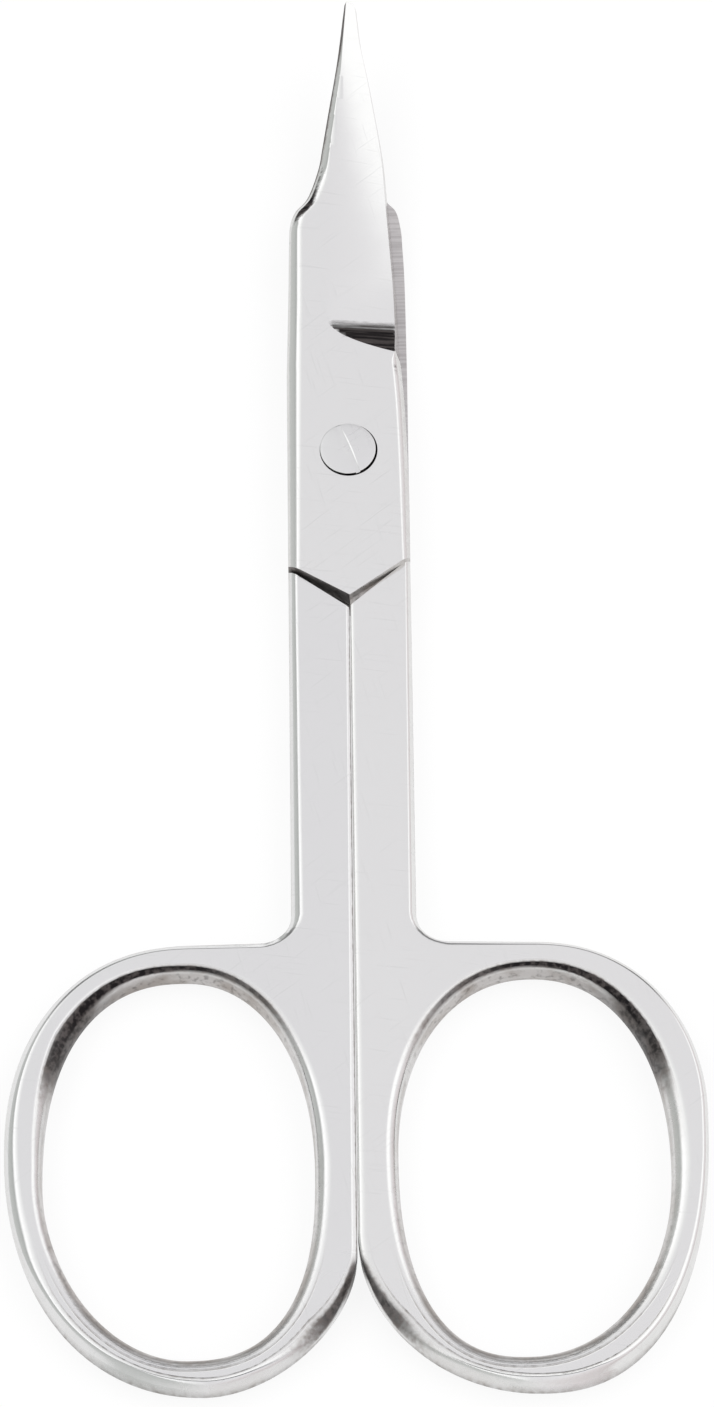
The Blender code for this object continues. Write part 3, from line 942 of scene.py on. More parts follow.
@dataclass(frozen=True)
class FinishAndShadeMarks:
    """Where a half isn't polished and where shade is painted on it, kept as a colour at each corner of its
    faces.

    Red is the share of forged or satin skin, green the share of the wheel's lines and blue the share of
    dark oxide. Red and blue also carry painted shade and painted dark reflections, as the marks below say.
    How level a surface is goes from 0 on a wall to 1 on a flat face, and how far it faces
    down goes to 1 where it looks to the ring's lower end.

    Attributes:
        half: The half.
        room_shade: The directions from the screw between which painted shade darkens its recess.
        side_satin: How satin the outer walls are, which is partly their finish and partly painted shade.
        handle_wall: How level the handle's surface is where that satin fades.
        plate_wall: The same on plate and blade.
        least_satin: The satin's share on a wall that faces sideways.
        end_wall_shade: How far a wall faces up or down where its satin gets fuller, as painted shade.
        corner_turns: The angles round the ring where the painted dark reflection at its inner corner begins,
            is full, eases and ends.
        corner_down: How far the surface faces down where that painted reflection begins.
        corner_level: How level it is there.
        corner_reflection_dark: The most dark colour of that painted reflection.
        gap_shade: How near the gap between the shanks its painted shade reaches.
        low_end: How far below its middle, in shares of its length, the ring's lower end begins.
        outline_shade: How near mid-height the painted shade round the lower end reaches.
        crease_shade_share: The painted shade there and in the rim's crease, as skin colour.
        crease_shade_dark: Its dark colour.
        hole_wall: How level the finger hole's surface is where the skin on its wall fades.
        hole_skin_and_shade: The skin on that wall, and the painted dark reflection that a wall facing down
            has on top.
        hole_shade_down: How far a wall faces down where it has that painted reflection.
        low_wall: How level the hole's lower rim is where its skin fades.
        low_skin: The skin there.
        low_up: How far it faces up there.
        oxide_and_shade_turns: Angles round the hole, each with the oxide and painted dark reflection on the
            upper rim and on the wall.
        rim_off_level: How far from level the upper rim is where its oxide begins.
        rim_level: How level it is where its oxide ends.
        wall_level: How level the wall is where its oxide fades.
        oxide_skin: How much skin comes with oxide.
        inner_level: How level a face of the blade that looks inwards is.
        ground_reach: Where along the blade's inner face, as a share of its reach, the wheel's lines begin.
        scoop_down: How far the wheel's run-out faces up the blade where it is burnt and darkened by a
            painted reflection.
        scoop_level: The least that it is level.
        scoop_run: The most that it reaches back from the near end of the ground face.
        scoop_streaks: The share of the wheel's lines in it, and how fast they come.
        spine_wall: How level the blade's back is where its painted dark reflection fades.
        spine_reach: Where along the blade, as a share of its reach, that painted reflection begins.
        spine_facing: How far its back faces outwards there.
        spine_reflection_dark: The most dark colour there.
        v_margin: How far from the V its own zone reaches.
        v_fade: Where across the joint, as shares of half its width, the skin at the V fades.
        groove_low: The lowest that a face of the groove at the step's foot lies.
        step_face: How level or sideways a face near the V is that isn't one of its walls.
        v_oxide_and_shade: The oxide and painted shade on the V's inner walls, in the deep gap.
        v_skin: The skin on its outer wall.
    """

    half: Half
    room_shade: Range = (-0.5, 0.1)
    side_satin: float = 0.3
    handle_wall: Range = (0.4, 0.7)
    plate_wall: Range = (0.55, 0.8)
    least_satin: float = 0.5
    end_wall_shade: Range = (0.6, 0.9)
    corner_turns: tuple[float, float, float, float] = (198.0, 210.0, 226.0, 250.0)
    corner_down: Range = (0.0, 0.25)
    corner_level: Range = (0.1, 0.4)
    corner_reflection_dark: float = 0.8
    gap_shade: Range = (0.0, 0.065 * MM)
    low_end: Range = (0.17, 0.35)
    outline_shade: Range = (0.06 * MM, 0.3 * MM)
    crease_shade_share: float = 0.6
    crease_shade_dark: float = 0.5
    hole_wall: Range = (0.35, 0.6)
    hole_skin_and_shade: tuple[float, float] = (0.6, 0.4)
    hole_shade_down: Range = (0.35, 0.8)
    low_wall: Range = (0.75, 0.95)
    low_skin: float = 0.9
    low_up: Range = (-0.2, 0.4)
    oxide_and_shade_turns: tuple[tuple[float, float, float], ...] = (
        (0.0, 0.0, 0.0), (25.0, 0.2, 0.2), (42.0, 0.9, 0.85), (58.0, 1.0, 0.8), (75.0, 1.0, 0.2),
        (95.0, 1.0, 0.1), (120.0, 0.6, 0.0), (145.0, 0.0, 0.0), (215.0, 0.0, 0.0), (250.0, 0.35, 0.0),
        (290.0, 0.35, 0.0), (330.0, 0.0, 0.0),
    )
    rim_off_level: Range = (0.02, 0.08)
    rim_level: Range = (0.5, 0.62)
    wall_level: Range = (0.8, 0.97)
    oxide_skin: float = 1.5
    inner_level: float = 0.8
    ground_reach: Range = (0.12, 0.23)
    scoop_down: Range = (0.02, 0.13)
    scoop_level: float = 0.5
    scoop_run: float = 4.0 * MM
    scoop_streaks: tuple[float, float] = (0.1, 5.0)
    spine_wall: Range = (0.64, 0.78)
    spine_reach: Range = (0.5, 0.6)
    spine_facing: Range = (0.0, 0.3)
    spine_reflection_dark: float = 0.8
    v_margin: float = 2.0 * MM
    v_fade: Range = (1 / 3, 1.0)
    groove_low: float = 0.55 * MM
    step_face: tuple[float, float] = (0.5, 0.9)
    v_oxide_and_shade: float = 0.6
    v_skin: float = 0.8

    def store(self, mesh: bpy.types.Mesh) -> None:
        """Marks a half's mesh.

        Args:
            mesh: The mesh, in the half's own frame.
        """
        marks = mesh.color_attributes.new(FINISH_AND_SHADE_MASK, "FLOAT_COLOR", "CORNER")
        screw = PivotScrew(self.half.lap)
        room = screw.head + screw.head_play + screw.off_centre.length + self.half.face_margin
        for face in mesh.polygons:
            from_pivot = max(mesh.vertices[index].co.xy.length for index in face.vertices)
            zone = Zone.SCREW_ROOM if from_pivot < room else self.zone(face)
            for corner in face.loop_indices:
                vertex = mesh.vertices[mesh.loops[corner].vertex_index]
                marks.data[corner].color = self.mark(zone, face, vertex)

    def zone(self, face: bpy.types.MeshPolygon) -> Zone:
        """Finds which zone a face outside the screw's room belongs to.

        Args:
            face: The face.

        Returns:
            Its zone.
        """
        half, place = self.half, face.center
        if place.y < -(half.lap.v_depth + self.v_margin):
            in_hole = place.y < half.ring_top and (half.ring_centre - place).dot(face.normal) > 0.0
            return Zone.HOLE if in_hole else Zone.HANDLE
        if place.y < half.lap.v_rise - half.lap.v_depth + self.v_margin:
            return Zone.SHOULDER
        return Zone.BLADE

    def mark(self, zone: Zone, face: bpy.types.MeshPolygon, vertex: bpy.types.MeshVertex) -> Colour:
        """Chooses the mark at a corner of a face.

        Args:
            zone: The face's zone.
            face: The face.
            vertex: The vertex at the corner.

        Returns:
            The mark.
        """
        if zone is Zone.SCREW_ROOM:
            return self.room_mark(vertex.co)
        if zone is Zone.HOLE:
            return self.hole_mark(vertex.co - self.half.ring_centre, vertex.normal)
        if zone is Zone.HANDLE:
            return self.handle_mark(vertex.co - self.half.ring_centre, vertex.normal)
        if zone is Zone.SHOULDER:
            return self.shoulder_mark(face.center, face.normal)
        return self.blade_mark(vertex.co, face.normal, vertex.normal)

    def room_mark(self, place: Vector) -> Colour:
        """Marks the screw's recess with painted shade where it stands open beside the head.

        Args:
            place: The place.

        Returns:
            The mark.
        """
        open_side = PivotScrew(self.half.lap).off_centre.xy.normalized()
        # Painted shade: the open side of the recess gets skin and dark colour.
        dark = ease(place.xy.normalized().dot(open_side), *self.room_shade)
        return (dark, 0.0, dark, 1.0)

    def handle_mark(self, offset: Vector, normal: Vector) -> Colour:
        """Marks shank and ring: satin walls, partly painted shade, a painted dark reflection at the inner
        corner, and painted shade in the crease and the gap.

        Args:
            offset: The place from the middle of the ring.
            normal: The surface's normal there.

        Returns:
            The mark.
        """
        half, level = self.half, abs(normal.z)
        satin = self.side_satin * (1.0 - ease(level, *self.handle_wall))
        # Walls facing up or down get fuller satin: painted shade and dark reflection along the ring's
        # outline.
        satin *= self.least_satin + ease(abs(normal.y), *self.end_wall_shade)
        turn = turn_of(offset.x, offset.y)
        darkens, full, eases, ends = self.corner_turns
        # A painted dark reflection at the ring's inner lower corner, on surfaces that face down.
        corner = ease(turn, darkens, full) * (1.0 - ease(turn, eases, ends))
        corner *= ease(-normal.y, *self.corner_down) * ease(level, *self.corner_level)
        # Painted shade in the gap between the shanks.
        from_gap = offset.x + (half.ring_reach - half.handle_gap / 2) / 2
        corner = max(corner, 1.0 - ease(from_gap, *self.gap_shade))
        crease = ease(-offset.y / half.ring_length, *self.low_end)
        # Painted shade lies in full in the crease where rim and face meet, and elsewhere only near
        # mid-height.
        if abs(offset.z) <= half.shank / 2 - SAME_PLACE or level >= LEVEL:
            crease *= 1.0 - ease(abs(offset.z), *self.outline_shade)
        # Here the dark colour is painted shade and a painted dark reflection only.
        oxide = max(self.corner_reflection_dark * corner, self.crease_shade_dark * crease)
        return (max(satin, corner, self.crease_shade_share * crease), 0.0, oxide, 1.0)

    def hole_mark(self, offset: Vector, normal: Vector) -> Colour:
        """Marks the finger hole: forged skin on its wall, and oxide with painted dark reflection under its
        upper rim.

        Args:
            offset: The place from the middle of the ring.
            normal: The surface's normal there.

        Returns:
            The mark.
        """
        level = abs(normal.z)
        least, more = self.hole_skin_and_shade
        # Walls facing down get more skin colour, a painted dark reflection.
        skin = (1.0 - ease(level, *self.hole_wall)) * (least + more * ease(-normal.y, *self.hole_shade_down))
        skin = max(skin, self.low_skin * (1.0 - ease(level, *self.low_wall)) * ease(normal.y, *self.low_up))
        # The upper rim's dark is partly oxide and partly painted dark reflection.
        turn = turn_of(offset.x, offset.y)
        turns = [row[0] for row in self.oxide_and_shade_turns]
        upper, wall = (table_value(turn, turns, [row[i] for row in self.oxide_and_shade_turns]) for i in (1, 2))
        upper *= ease(1.0 - level, *self.rim_off_level) * ease(level, *self.rim_level)
        oxide = max(upper, wall * (1.0 - ease(level, *self.wall_level)))
        return (max(skin, min(self.oxide_skin * oxide, 1.0)), 0.0, oxide, 1.0)

    def blade_mark(self, place: Vector, facing: Vector, normal: Vector) -> Colour:
        """Marks plate and blade: satin walls, a ground inner face, a run-out burnt and darkened by a painted
        reflection, a back with a painted dark reflection.

        Args:
            place: The place.
            facing: The face's normal.
            normal: The surface's normal there.

        Returns:
            The mark.
        """
        half, level = self.half, abs(facing.z)
        satin = self.side_satin * (1.0 - ease(level, *self.plate_wall))
        inner_height = half.lap.gap + half.inner_relief + half.bend(place.y) * half.side.value
        if place.z < inner_height and facing.z < -self.inner_level:
            return (0.0, ease(place.y / half.blade_reach, *self.ground_reach), 0.0, 1.0)
        start, full = self.scoop_down
        in_scoop = facing.y > start and facing.z > self.scoop_level and satin == 0.0
        if in_scoop and place.y > half.runout_reach - self.scoop_run:
            # The run-out is dark from real burn and wheel lines and from a painted dark reflection, graded
            # by how far it faces up the blade.
            burnt = held((normal.y - start) / (full - start))
            most, speed = self.scoop_streaks
            return (burnt, most * min(speed * burnt, 1.0), 1.0, 1.0)
        # A painted dark reflection along the blade's back, on walls that face outwards.
        dark = 1.0 - ease(level, *self.spine_wall)
        dark *= ease(place.y / half.blade_reach, *self.spine_reach) * ease(-facing.x, *self.spine_facing)
        return (max(satin, dark), 0.0, self.spine_reflection_dark * dark, 1.0)

    def shoulder_mark(self, place: Vector, normal: Vector) -> Colour:
        """Marks a face near the V, whose walls no wheel reaches.

        Args:
            place: The face's middle.
            normal: Its normal.

        Returns:
            The mark.
        """
        half, level = self.half, abs(normal.z)
        fade = 1.0 - ease(place.x / half.lap.half_width, *self.v_fade)
        groove_height = self.groove_low < place.z < half.shank / 2 - half.groove_depth / 2
        if groove_height and 0.0 < place.x < half.groove_share * half.lap.half_width:
            return (fade, 0.0, 0.0, 1.0)
        most_level, most_sideways = self.step_face
        if level > most_level or abs(normal.x) > most_sideways:
            return (self.side_satin * (1.0 - ease(level, *self.plate_wall)), 0.0, 0.0, 1.0)
        # The V's inner walls: oxide and painted shade of the deep gap between the halves.
        if place.x < half.handle_gap / 2 or place.z < half.lap.gap:
            return (1.0, 0.0, self.v_oxide_and_shade, 1.0)
        return (self.v_skin * fade, 0.0, 0.0, 1.0)


def set_in(point: Vector, normal: Vector, inset: float, height: float) -> Vector:
    """The place of an outline's point that is moved in plan along its normal, at a height."""
    return Vector((point.x + normal.x * inset, point.y + normal.y * inset, height))


def rim_point(rim: Vector, share: float) -> tuple[float, float]:
    """A point of a rim's section, a conic from its side up to its face.

    Args:
        rim: Its width in plan, its height, how far its side leans in, and how tight its corner is.
        share: Where along it, 0 at the side and 1 at the face.

    Returns:
        How far in the point lies, and how high above the rim's foot.
    """
    width, height, lean, tight = rim
    foot, pull, head = (1.0 - share) ** 2, 2 * tight * share * (1.0 - share), share ** 2
    total = foot + pull + head
    return width * (pull * lean + head) / total, height * (pull + head) / total


def inward_normals(outline: list[Vector]) -> list[Vector]:
    """Unit vectors in plan that point into a loop drawn with its inside on the left or the right.

    Args:
        outline: The loop's points, of which x and y count.

    Returns:
        One vector for each point.
    """
    flat = [Vector((point.x, point.y)) for point in outline]
    area = sum(flat[i - 1].x * flat[i].y - flat[i].x * flat[i - 1].y for i in range(len(flat)))
    sense = 1.0 if area > 0.0 else -1.0
    normals = []
    for i, point in enumerate(flat):
        ahead = (flat[(i + 1) % len(flat)] - point).normalized()
        back = (point - flat[i - 1]).normalized()
        normals.append(Vector((-(ahead.y + back.y), ahead.x + back.x)).normalized() * sense)
    return normals


@dataclass
class PivotScrew:
    """The slotted screw that both halves turn on.

    Attributes:
        lap: The joint that it holds together.
        head: The head's radius.
        proud: How far the head stands above the plate.
        crown: How far the head's face swells in the middle.
        head_edge: The round of the head's rim.
        recess: How deep the front plate is cut for the head.
        head_play: How much wider than the head that recess is.
        seat_play: The play under the head.
        journal: The radius of the smooth part that the front half turns on.
        thread: The radius of the threaded end.
        play: How much wider the holes are than journal and thread.
        off_centre: How far off the pivot the recess was cut.
        end_chamfer: The chamfer of the threaded end.
        slot_width: The slot's width at its floor.
        slot_depth: Its depth.
        slot_angle: Its direction, from +X.
        slot_ease: How wide and how deep its edges are eased.
        slot_sharpness: The turn from which an edge of the screw is sharp.
        turns: The sides of everything round the pivot.
        edge_steps: The facets of the head's rim, and the rings of its face.
    """

    lap: Lap
    head: float = 1.8 * MM
    proud: float = 0.2 * MM
    crown: float = 0.05 * MM
    head_edge: float = 0.045 * MM
    recess: float = 0.85 * MM
    head_play: float = 0.07 * MM
    seat_play: float = 0.03 * MM
    journal: float = 1.15 * MM
    thread: float = 1.0 * MM
    play: float = 0.05 * MM
    off_centre: Vector = field(default_factory=lambda: Vector((0.045, -0.038, 0.0)) * MM)
    end_chamfer: float = 0.15 * MM
    slot_width: float = 0.3 * MM
    slot_depth: float = 0.22 * MM
    slot_angle: float = math.radians(21.0)
    slot_ease: Vector = field(default_factory=lambda: Vector((0.1, 0.034)) * MM)
    slot_sharpness: float = math.radians(12.0)
    turns: int = 128
    edge_steps: int = 6

    def build(self) -> bpy.types.Object:
        """Turns the screw and cuts its slot.

        Returns:
            The piece in its place in the finished object.
        """
        plate = self.lap.plate
        top = plate + self.proud
        seat = plate - self.recess + self.seat_play
        profile = [
            (0.0, -plate), (self.thread - self.end_chamfer, -plate), (self.thread, self.end_chamfer - plate),
            (self.thread, 0.0), (self.journal, 0.0), (self.journal, seat), (self.head, seat),
        ]
        for step in range(self.edge_steps + 1):
            angle = math.pi / 2 * step / self.edge_steps
            radius = self.head - self.head_edge * (1.0 - math.cos(angle))
            profile.append((radius, top - self.crown - self.head_edge * (1.0 - math.sin(angle))))
        for step in range(self.edge_steps):
            share = 1.0 - (step + 1) / self.edge_steps
            profile.append(((self.head - self.head_edge) * share, top - self.crown * share ** 2))
        work = bmesh.new()
        verts = [work.verts.new((radius, 0.0, height)) for radius, height in profile]
        edges = [work.edges.new(pair) for pair in zip(verts, verts[1:])]
        bmesh.ops.spin(
            work, geom=verts + edges, cent=(0.0, 0.0, 0.0), axis=(0.0, 0.0, 1.0),
            angle=2 * math.pi, steps=self.turns, use_merge=True,
        )
        screw = combine(linked("pivot_screw_fine", work), self.slot(top), Joining.CUT)
        screw.name = "slotted_screw"
        screw.data.transform(Matrix.Translation(self.lap.pivot))
        screw.data.shade_smooth()
        screw.data.set_sharp_from_angle(angle=self.slot_sharpness)
        return screw

    def slot(self, top: float) -> bpy.types.Object:
        """What the saw takes off the head: a slot with eased edges.

        Args:
            top: The height of the head's face.

        Returns:
            The cutter.
        """
        reach, half = self.head + OVERRUN, self.slot_width / 2
        wide = half + self.slot_ease.x
        right = [
            Vector((half, top - self.slot_depth)), Vector((half, top - self.slot_ease.y)),
            Vector((wide, top)), Vector((wide, top + OVERRUN)),
        ]
        left = [Vector((-point.x, point.y)) for point in reversed(right)]
        cutter = block("slot", right + left, -reach, reach)
        upright = Matrix.Rotation(math.pi / 2, 4, "X")
        cutter.data.transform(Matrix.Rotation(self.slot_angle, 4, "Z") @ upright)
        return cutter


def front_half(lap: Lap) -> Half:
    """Gives the sizes of the half that lies on top, with the right ring.

    Args:
        lap: The joint.

    Returns:
        The half.
    """
    return Half(
        lap=lap,
        side=Side.FRONT,
        shank_rim=Vector((0.5, 0.55, 0.4, 0.9)),
        spine_shares=(
            (-1.0, 0.18), (-0.965, 0.35), (-0.945, 0.475), (-0.925, 0.52), (-0.835, 0.552), (-0.62, 0.584),
            (-0.44, 0.645), (-0.37, 0.69), (-0.27, 0.76), (-0.1, 0.875), (0.015, 0.975), (0.05, 0.994),
        ),
        edge_shares=(
            (0.14, 1.0), (0.225, 0.992), (0.25, 0.972), (0.305, 0.915), (0.4, 0.858), (0.495, 0.795),
            (0.65, 0.677), (0.72, 0.572), (0.775, 0.48), (0.835, 0.374), (0.87, 0.25), (0.89, 0.21),
            (0.945, 0.12), (0.98, 0.01), (1.0, -0.1),
        ),
        ring=Oval(0.532, 0.507, 0.36, 0.61, (2.08, 2.8, 2.0, 2.37)),
        hole=Oval(0.5, 0.455, 0.525, 0.49, (2.18, 2.14, 2.44, 2.11)),
        ring_rims=(
            (0.0, 0.45, 0.8, 0.0, 0.71), (50.0, 0.5, 0.7, 0.4, 1.2), (85.0, 0.42, 0.5, 0.6, 2.0),
            (102.0, 0.4, 0.11, 0.2, 1.0), (210.0, 0.62, 0.15, 0.25, 1.0), (232.0, 1.1, 0.95, 0.0, 0.71),
            (250.0, 0.85, 1.0, 0.7, 2.5), (285.0, 0.95, 1.0, 0.85, 4.0), (310.0, 0.7, 1.0, 0.5, 2.0),
            (360.0, 0.45, 0.8, 0.0, 0.71),
        ),
        hole_rims=(
            (0.0, 1.3, 0.9, 0.0, 0.71), (50.0, 1.25, 1.0, 0.3, 1.0), (90.0, 0.92, 1.0, 0.33, 1.5),
            (130.0, 0.85, 0.9, 0.2, 1.0), (180.0, 0.9, 0.9, 0.0, 0.71), (240.0, 0.9, 0.8, 0.3, 1.2),
            (300.0, 0.95, 0.8, 0.3, 1.2), (360.0, 1.3, 0.9, 0.0, 0.71),
        ),
    )


def back_half(lap: Lap) -> Half:
    """Gives the sizes of the half that lies underneath, with the left ring, before it is turned over.

    Args:
        lap: The joint.

    Returns:
        The half.
    """
    return Half(
        lap=lap,
        side=Side.BACK,
        spine_shares=(
            (-1.0, 0.18), (-0.985, 0.4), (-0.955, 0.492), (-0.935, 0.528), (-0.86, 0.568), (-0.71, 0.59),
            (-0.56, 0.62), (-0.47, 0.66), (-0.41, 0.71), (-0.35, 0.78), (-0.29, 0.87), (-0.245, 0.965),
            (-0.22, 0.992),
        ),
        edge_shares=(
            (-0.15, 1.0), (-0.09, 0.99), (-0.06, 0.965), (0.04, 0.88), (0.27, 0.71), (0.47, 0.56),
            (0.68, 0.4), (0.85, 0.27), (0.89, 0.21), (0.945, 0.12), (0.98, 0.01), (1.0, -0.1),
        ),
        ring=Oval(0.485, 0.43, 0.315, 0.545, (2.2, 3.0, 1.81, 2.14)),
        hole=Oval(0.48, 0.468, 0.48, 0.473, (2.34, 2.15, 2.54, 1.93)),
        ring_rims=(
            (0.0, 1.0, 0.95, 0.0, 0.71), (50.0, 0.7, 0.8, 0.4, 1.2), (85.0, 0.45, 0.5, 0.6, 2.0),
            (102.0, 0.36, 0.12, 0.8, 3.0), (210.0, 0.4, 0.14, 0.8, 3.0), (232.0, 1.1, 0.95, 0.0, 0.71),
            (250.0, 0.85, 1.0, 0.7, 2.5), (285.0, 0.95, 1.0, 0.85, 4.0), (315.0, 0.9, 1.0, 0.5, 2.0),
            (335.0, 1.1, 0.95, 0.0, 0.71), (360.0, 1.0, 0.95, 0.0, 0.71),
        ),
        hole_rims=(
            (0.0, 0.7, 0.8, 0.0, 0.71), (20.0, 0.9, 0.9, 0.0, 0.71), (50.0, 1.4, 1.0, 0.3, 1.0),
            (90.0, 0.92, 1.0, 0.33, 1.5), (130.0, 0.85, 0.9, 0.2, 1.0), (180.0, 1.1, 0.9, 0.0, 0.71),
            (240.0, 0.9, 0.8, 0.3, 1.2), (300.0, 0.9, 0.8, 0.3, 1.2), (360.0, 0.7, 0.8, 0.0, 0.71),
        ),
    )


@dataclass
class Board:
    """A node tree with short ways to place and join its nodes.

    Attributes:
        tree: The tree.
    """

    tree: bpy.types.NodeTree

    def add(
        self, kind: str, inputs: dict[str | int, object] | None = None, **settings: object
    ) -> bpy.types.Node:
        """Places a node.

        Args:
            kind: Its type.
            inputs: What its sockets get, a value or another node's output.
            **settings: Its own settings.

        Returns:
            The node.
        """
        node = self.tree.nodes.new(kind)
        for name, value in settings.items():
            setattr(node, name, value)
        for socket, value in (inputs or {}).items():
            if isinstance(value, bpy.types.NodeSocket):
                self.tree.links.new(value, node.inputs[socket])
            else:
                node.inputs[socket].default_value = value
        return node

    def math(self, operation: str, *values: object, **settings: object) -> bpy.types.NodeSocket:
        """A Math node's result."""
        settings["operation"] = operation
        return self.add("ShaderNodeMath", dict(enumerate(values)), **settings).outputs[0]

    def remap(
        self, value: object, low: object, high: object, start: object = 0.0, end: object = 1.0
    ) -> bpy.types.NodeSocket:
        """Takes a value smoothly from one range to another, and holds it at its ends.

        Args:
            value: The value.
            low: Where the result is start.
            high: Where the result is end.
            start: The result at low.
            end: The result at high.

        Returns:
            The result.
        """
        inputs = {"Value": value, "From Min": low, "From Max": high, "To Min": start, "To Max": end}
        return self.add("ShaderNodeMapRange", inputs, interpolation_type="SMOOTHSTEP").outputs[0]

    def turn_step(self, angle: bpy.types.NodeSocket, start: float, full: float) -> bpy.types.NodeSocket:
        """A smooth step from 0 at one angle to 1 at another, both in degrees."""
        return self.remap(angle, math.radians(start), math.radians(full))

    def mix(self, share: object, plain: object, other: object) -> bpy.types.NodeSocket:
        """A colour between two others."""
        # These are the Mix node's own sockets for a factor and two colours.
        return self.add("ShaderNodeMix", {0: share, 6: plain, 7: other}, data_type="RGBA").outputs[2]

    def noise(self, where: bpy.types.NodeSocket, scale: float, detail: float) -> bpy.types.NodeSocket:
        """Noise about 0.5, with its repeats in a metre and its octaves."""
        inputs = {"Vector": where, "Scale": scale, "Detail": detail}
        return self.add("ShaderNodeTexNoise", inputs).outputs[0]

    def streaks(
        self, where: bpy.types.NodeSocket, turn: float, scale: tuple[float, float, float], detail: float
    ) -> bpy.types.NodeSocket:
        """Draws noise out along one direction of the plane.

        Args:
            where: The coordinates.
            turn: The angle of the direction in plan.
            scale: Repeats in a metre along it, across it and in height.
            detail: The noise's octaves.

        Returns:
            The noise, about 0.5.
        """
        turned = self.add("ShaderNodeMapping", {"Vector": where, "Rotation": (0.0, 0.0, turn)})
        drawn = self.add("ShaderNodeMapping", {"Vector": turned.outputs[0], "Scale": scale})
        return self.noise(drawn.outputs[0], 1.0, detail)


@dataclass
class SteelPatterns:
    """The patterns on steel, as outputs of nodes.

    Attributes:
        scratches: Fine scratches, 0 or 1.
        smudge: Where hands have dulled it.
        grain: The finest unevenness of its polish.
        waves: The hollows that hand polishing leaves.
        pits: The pits of forged skin.
        blotch: The lighter blotches of that skin.
        ground_lines: The wheel's lines.
    """

    scratches: bpy.types.NodeSocket
    smudge: bpy.types.NodeSocket
    grain: bpy.types.NodeSocket
    waves: bpy.types.NodeSocket
    pits: bpy.types.NodeSocket
    blotch: bpy.types.NodeSocket
    ground_lines: bpy.types.NodeSocket


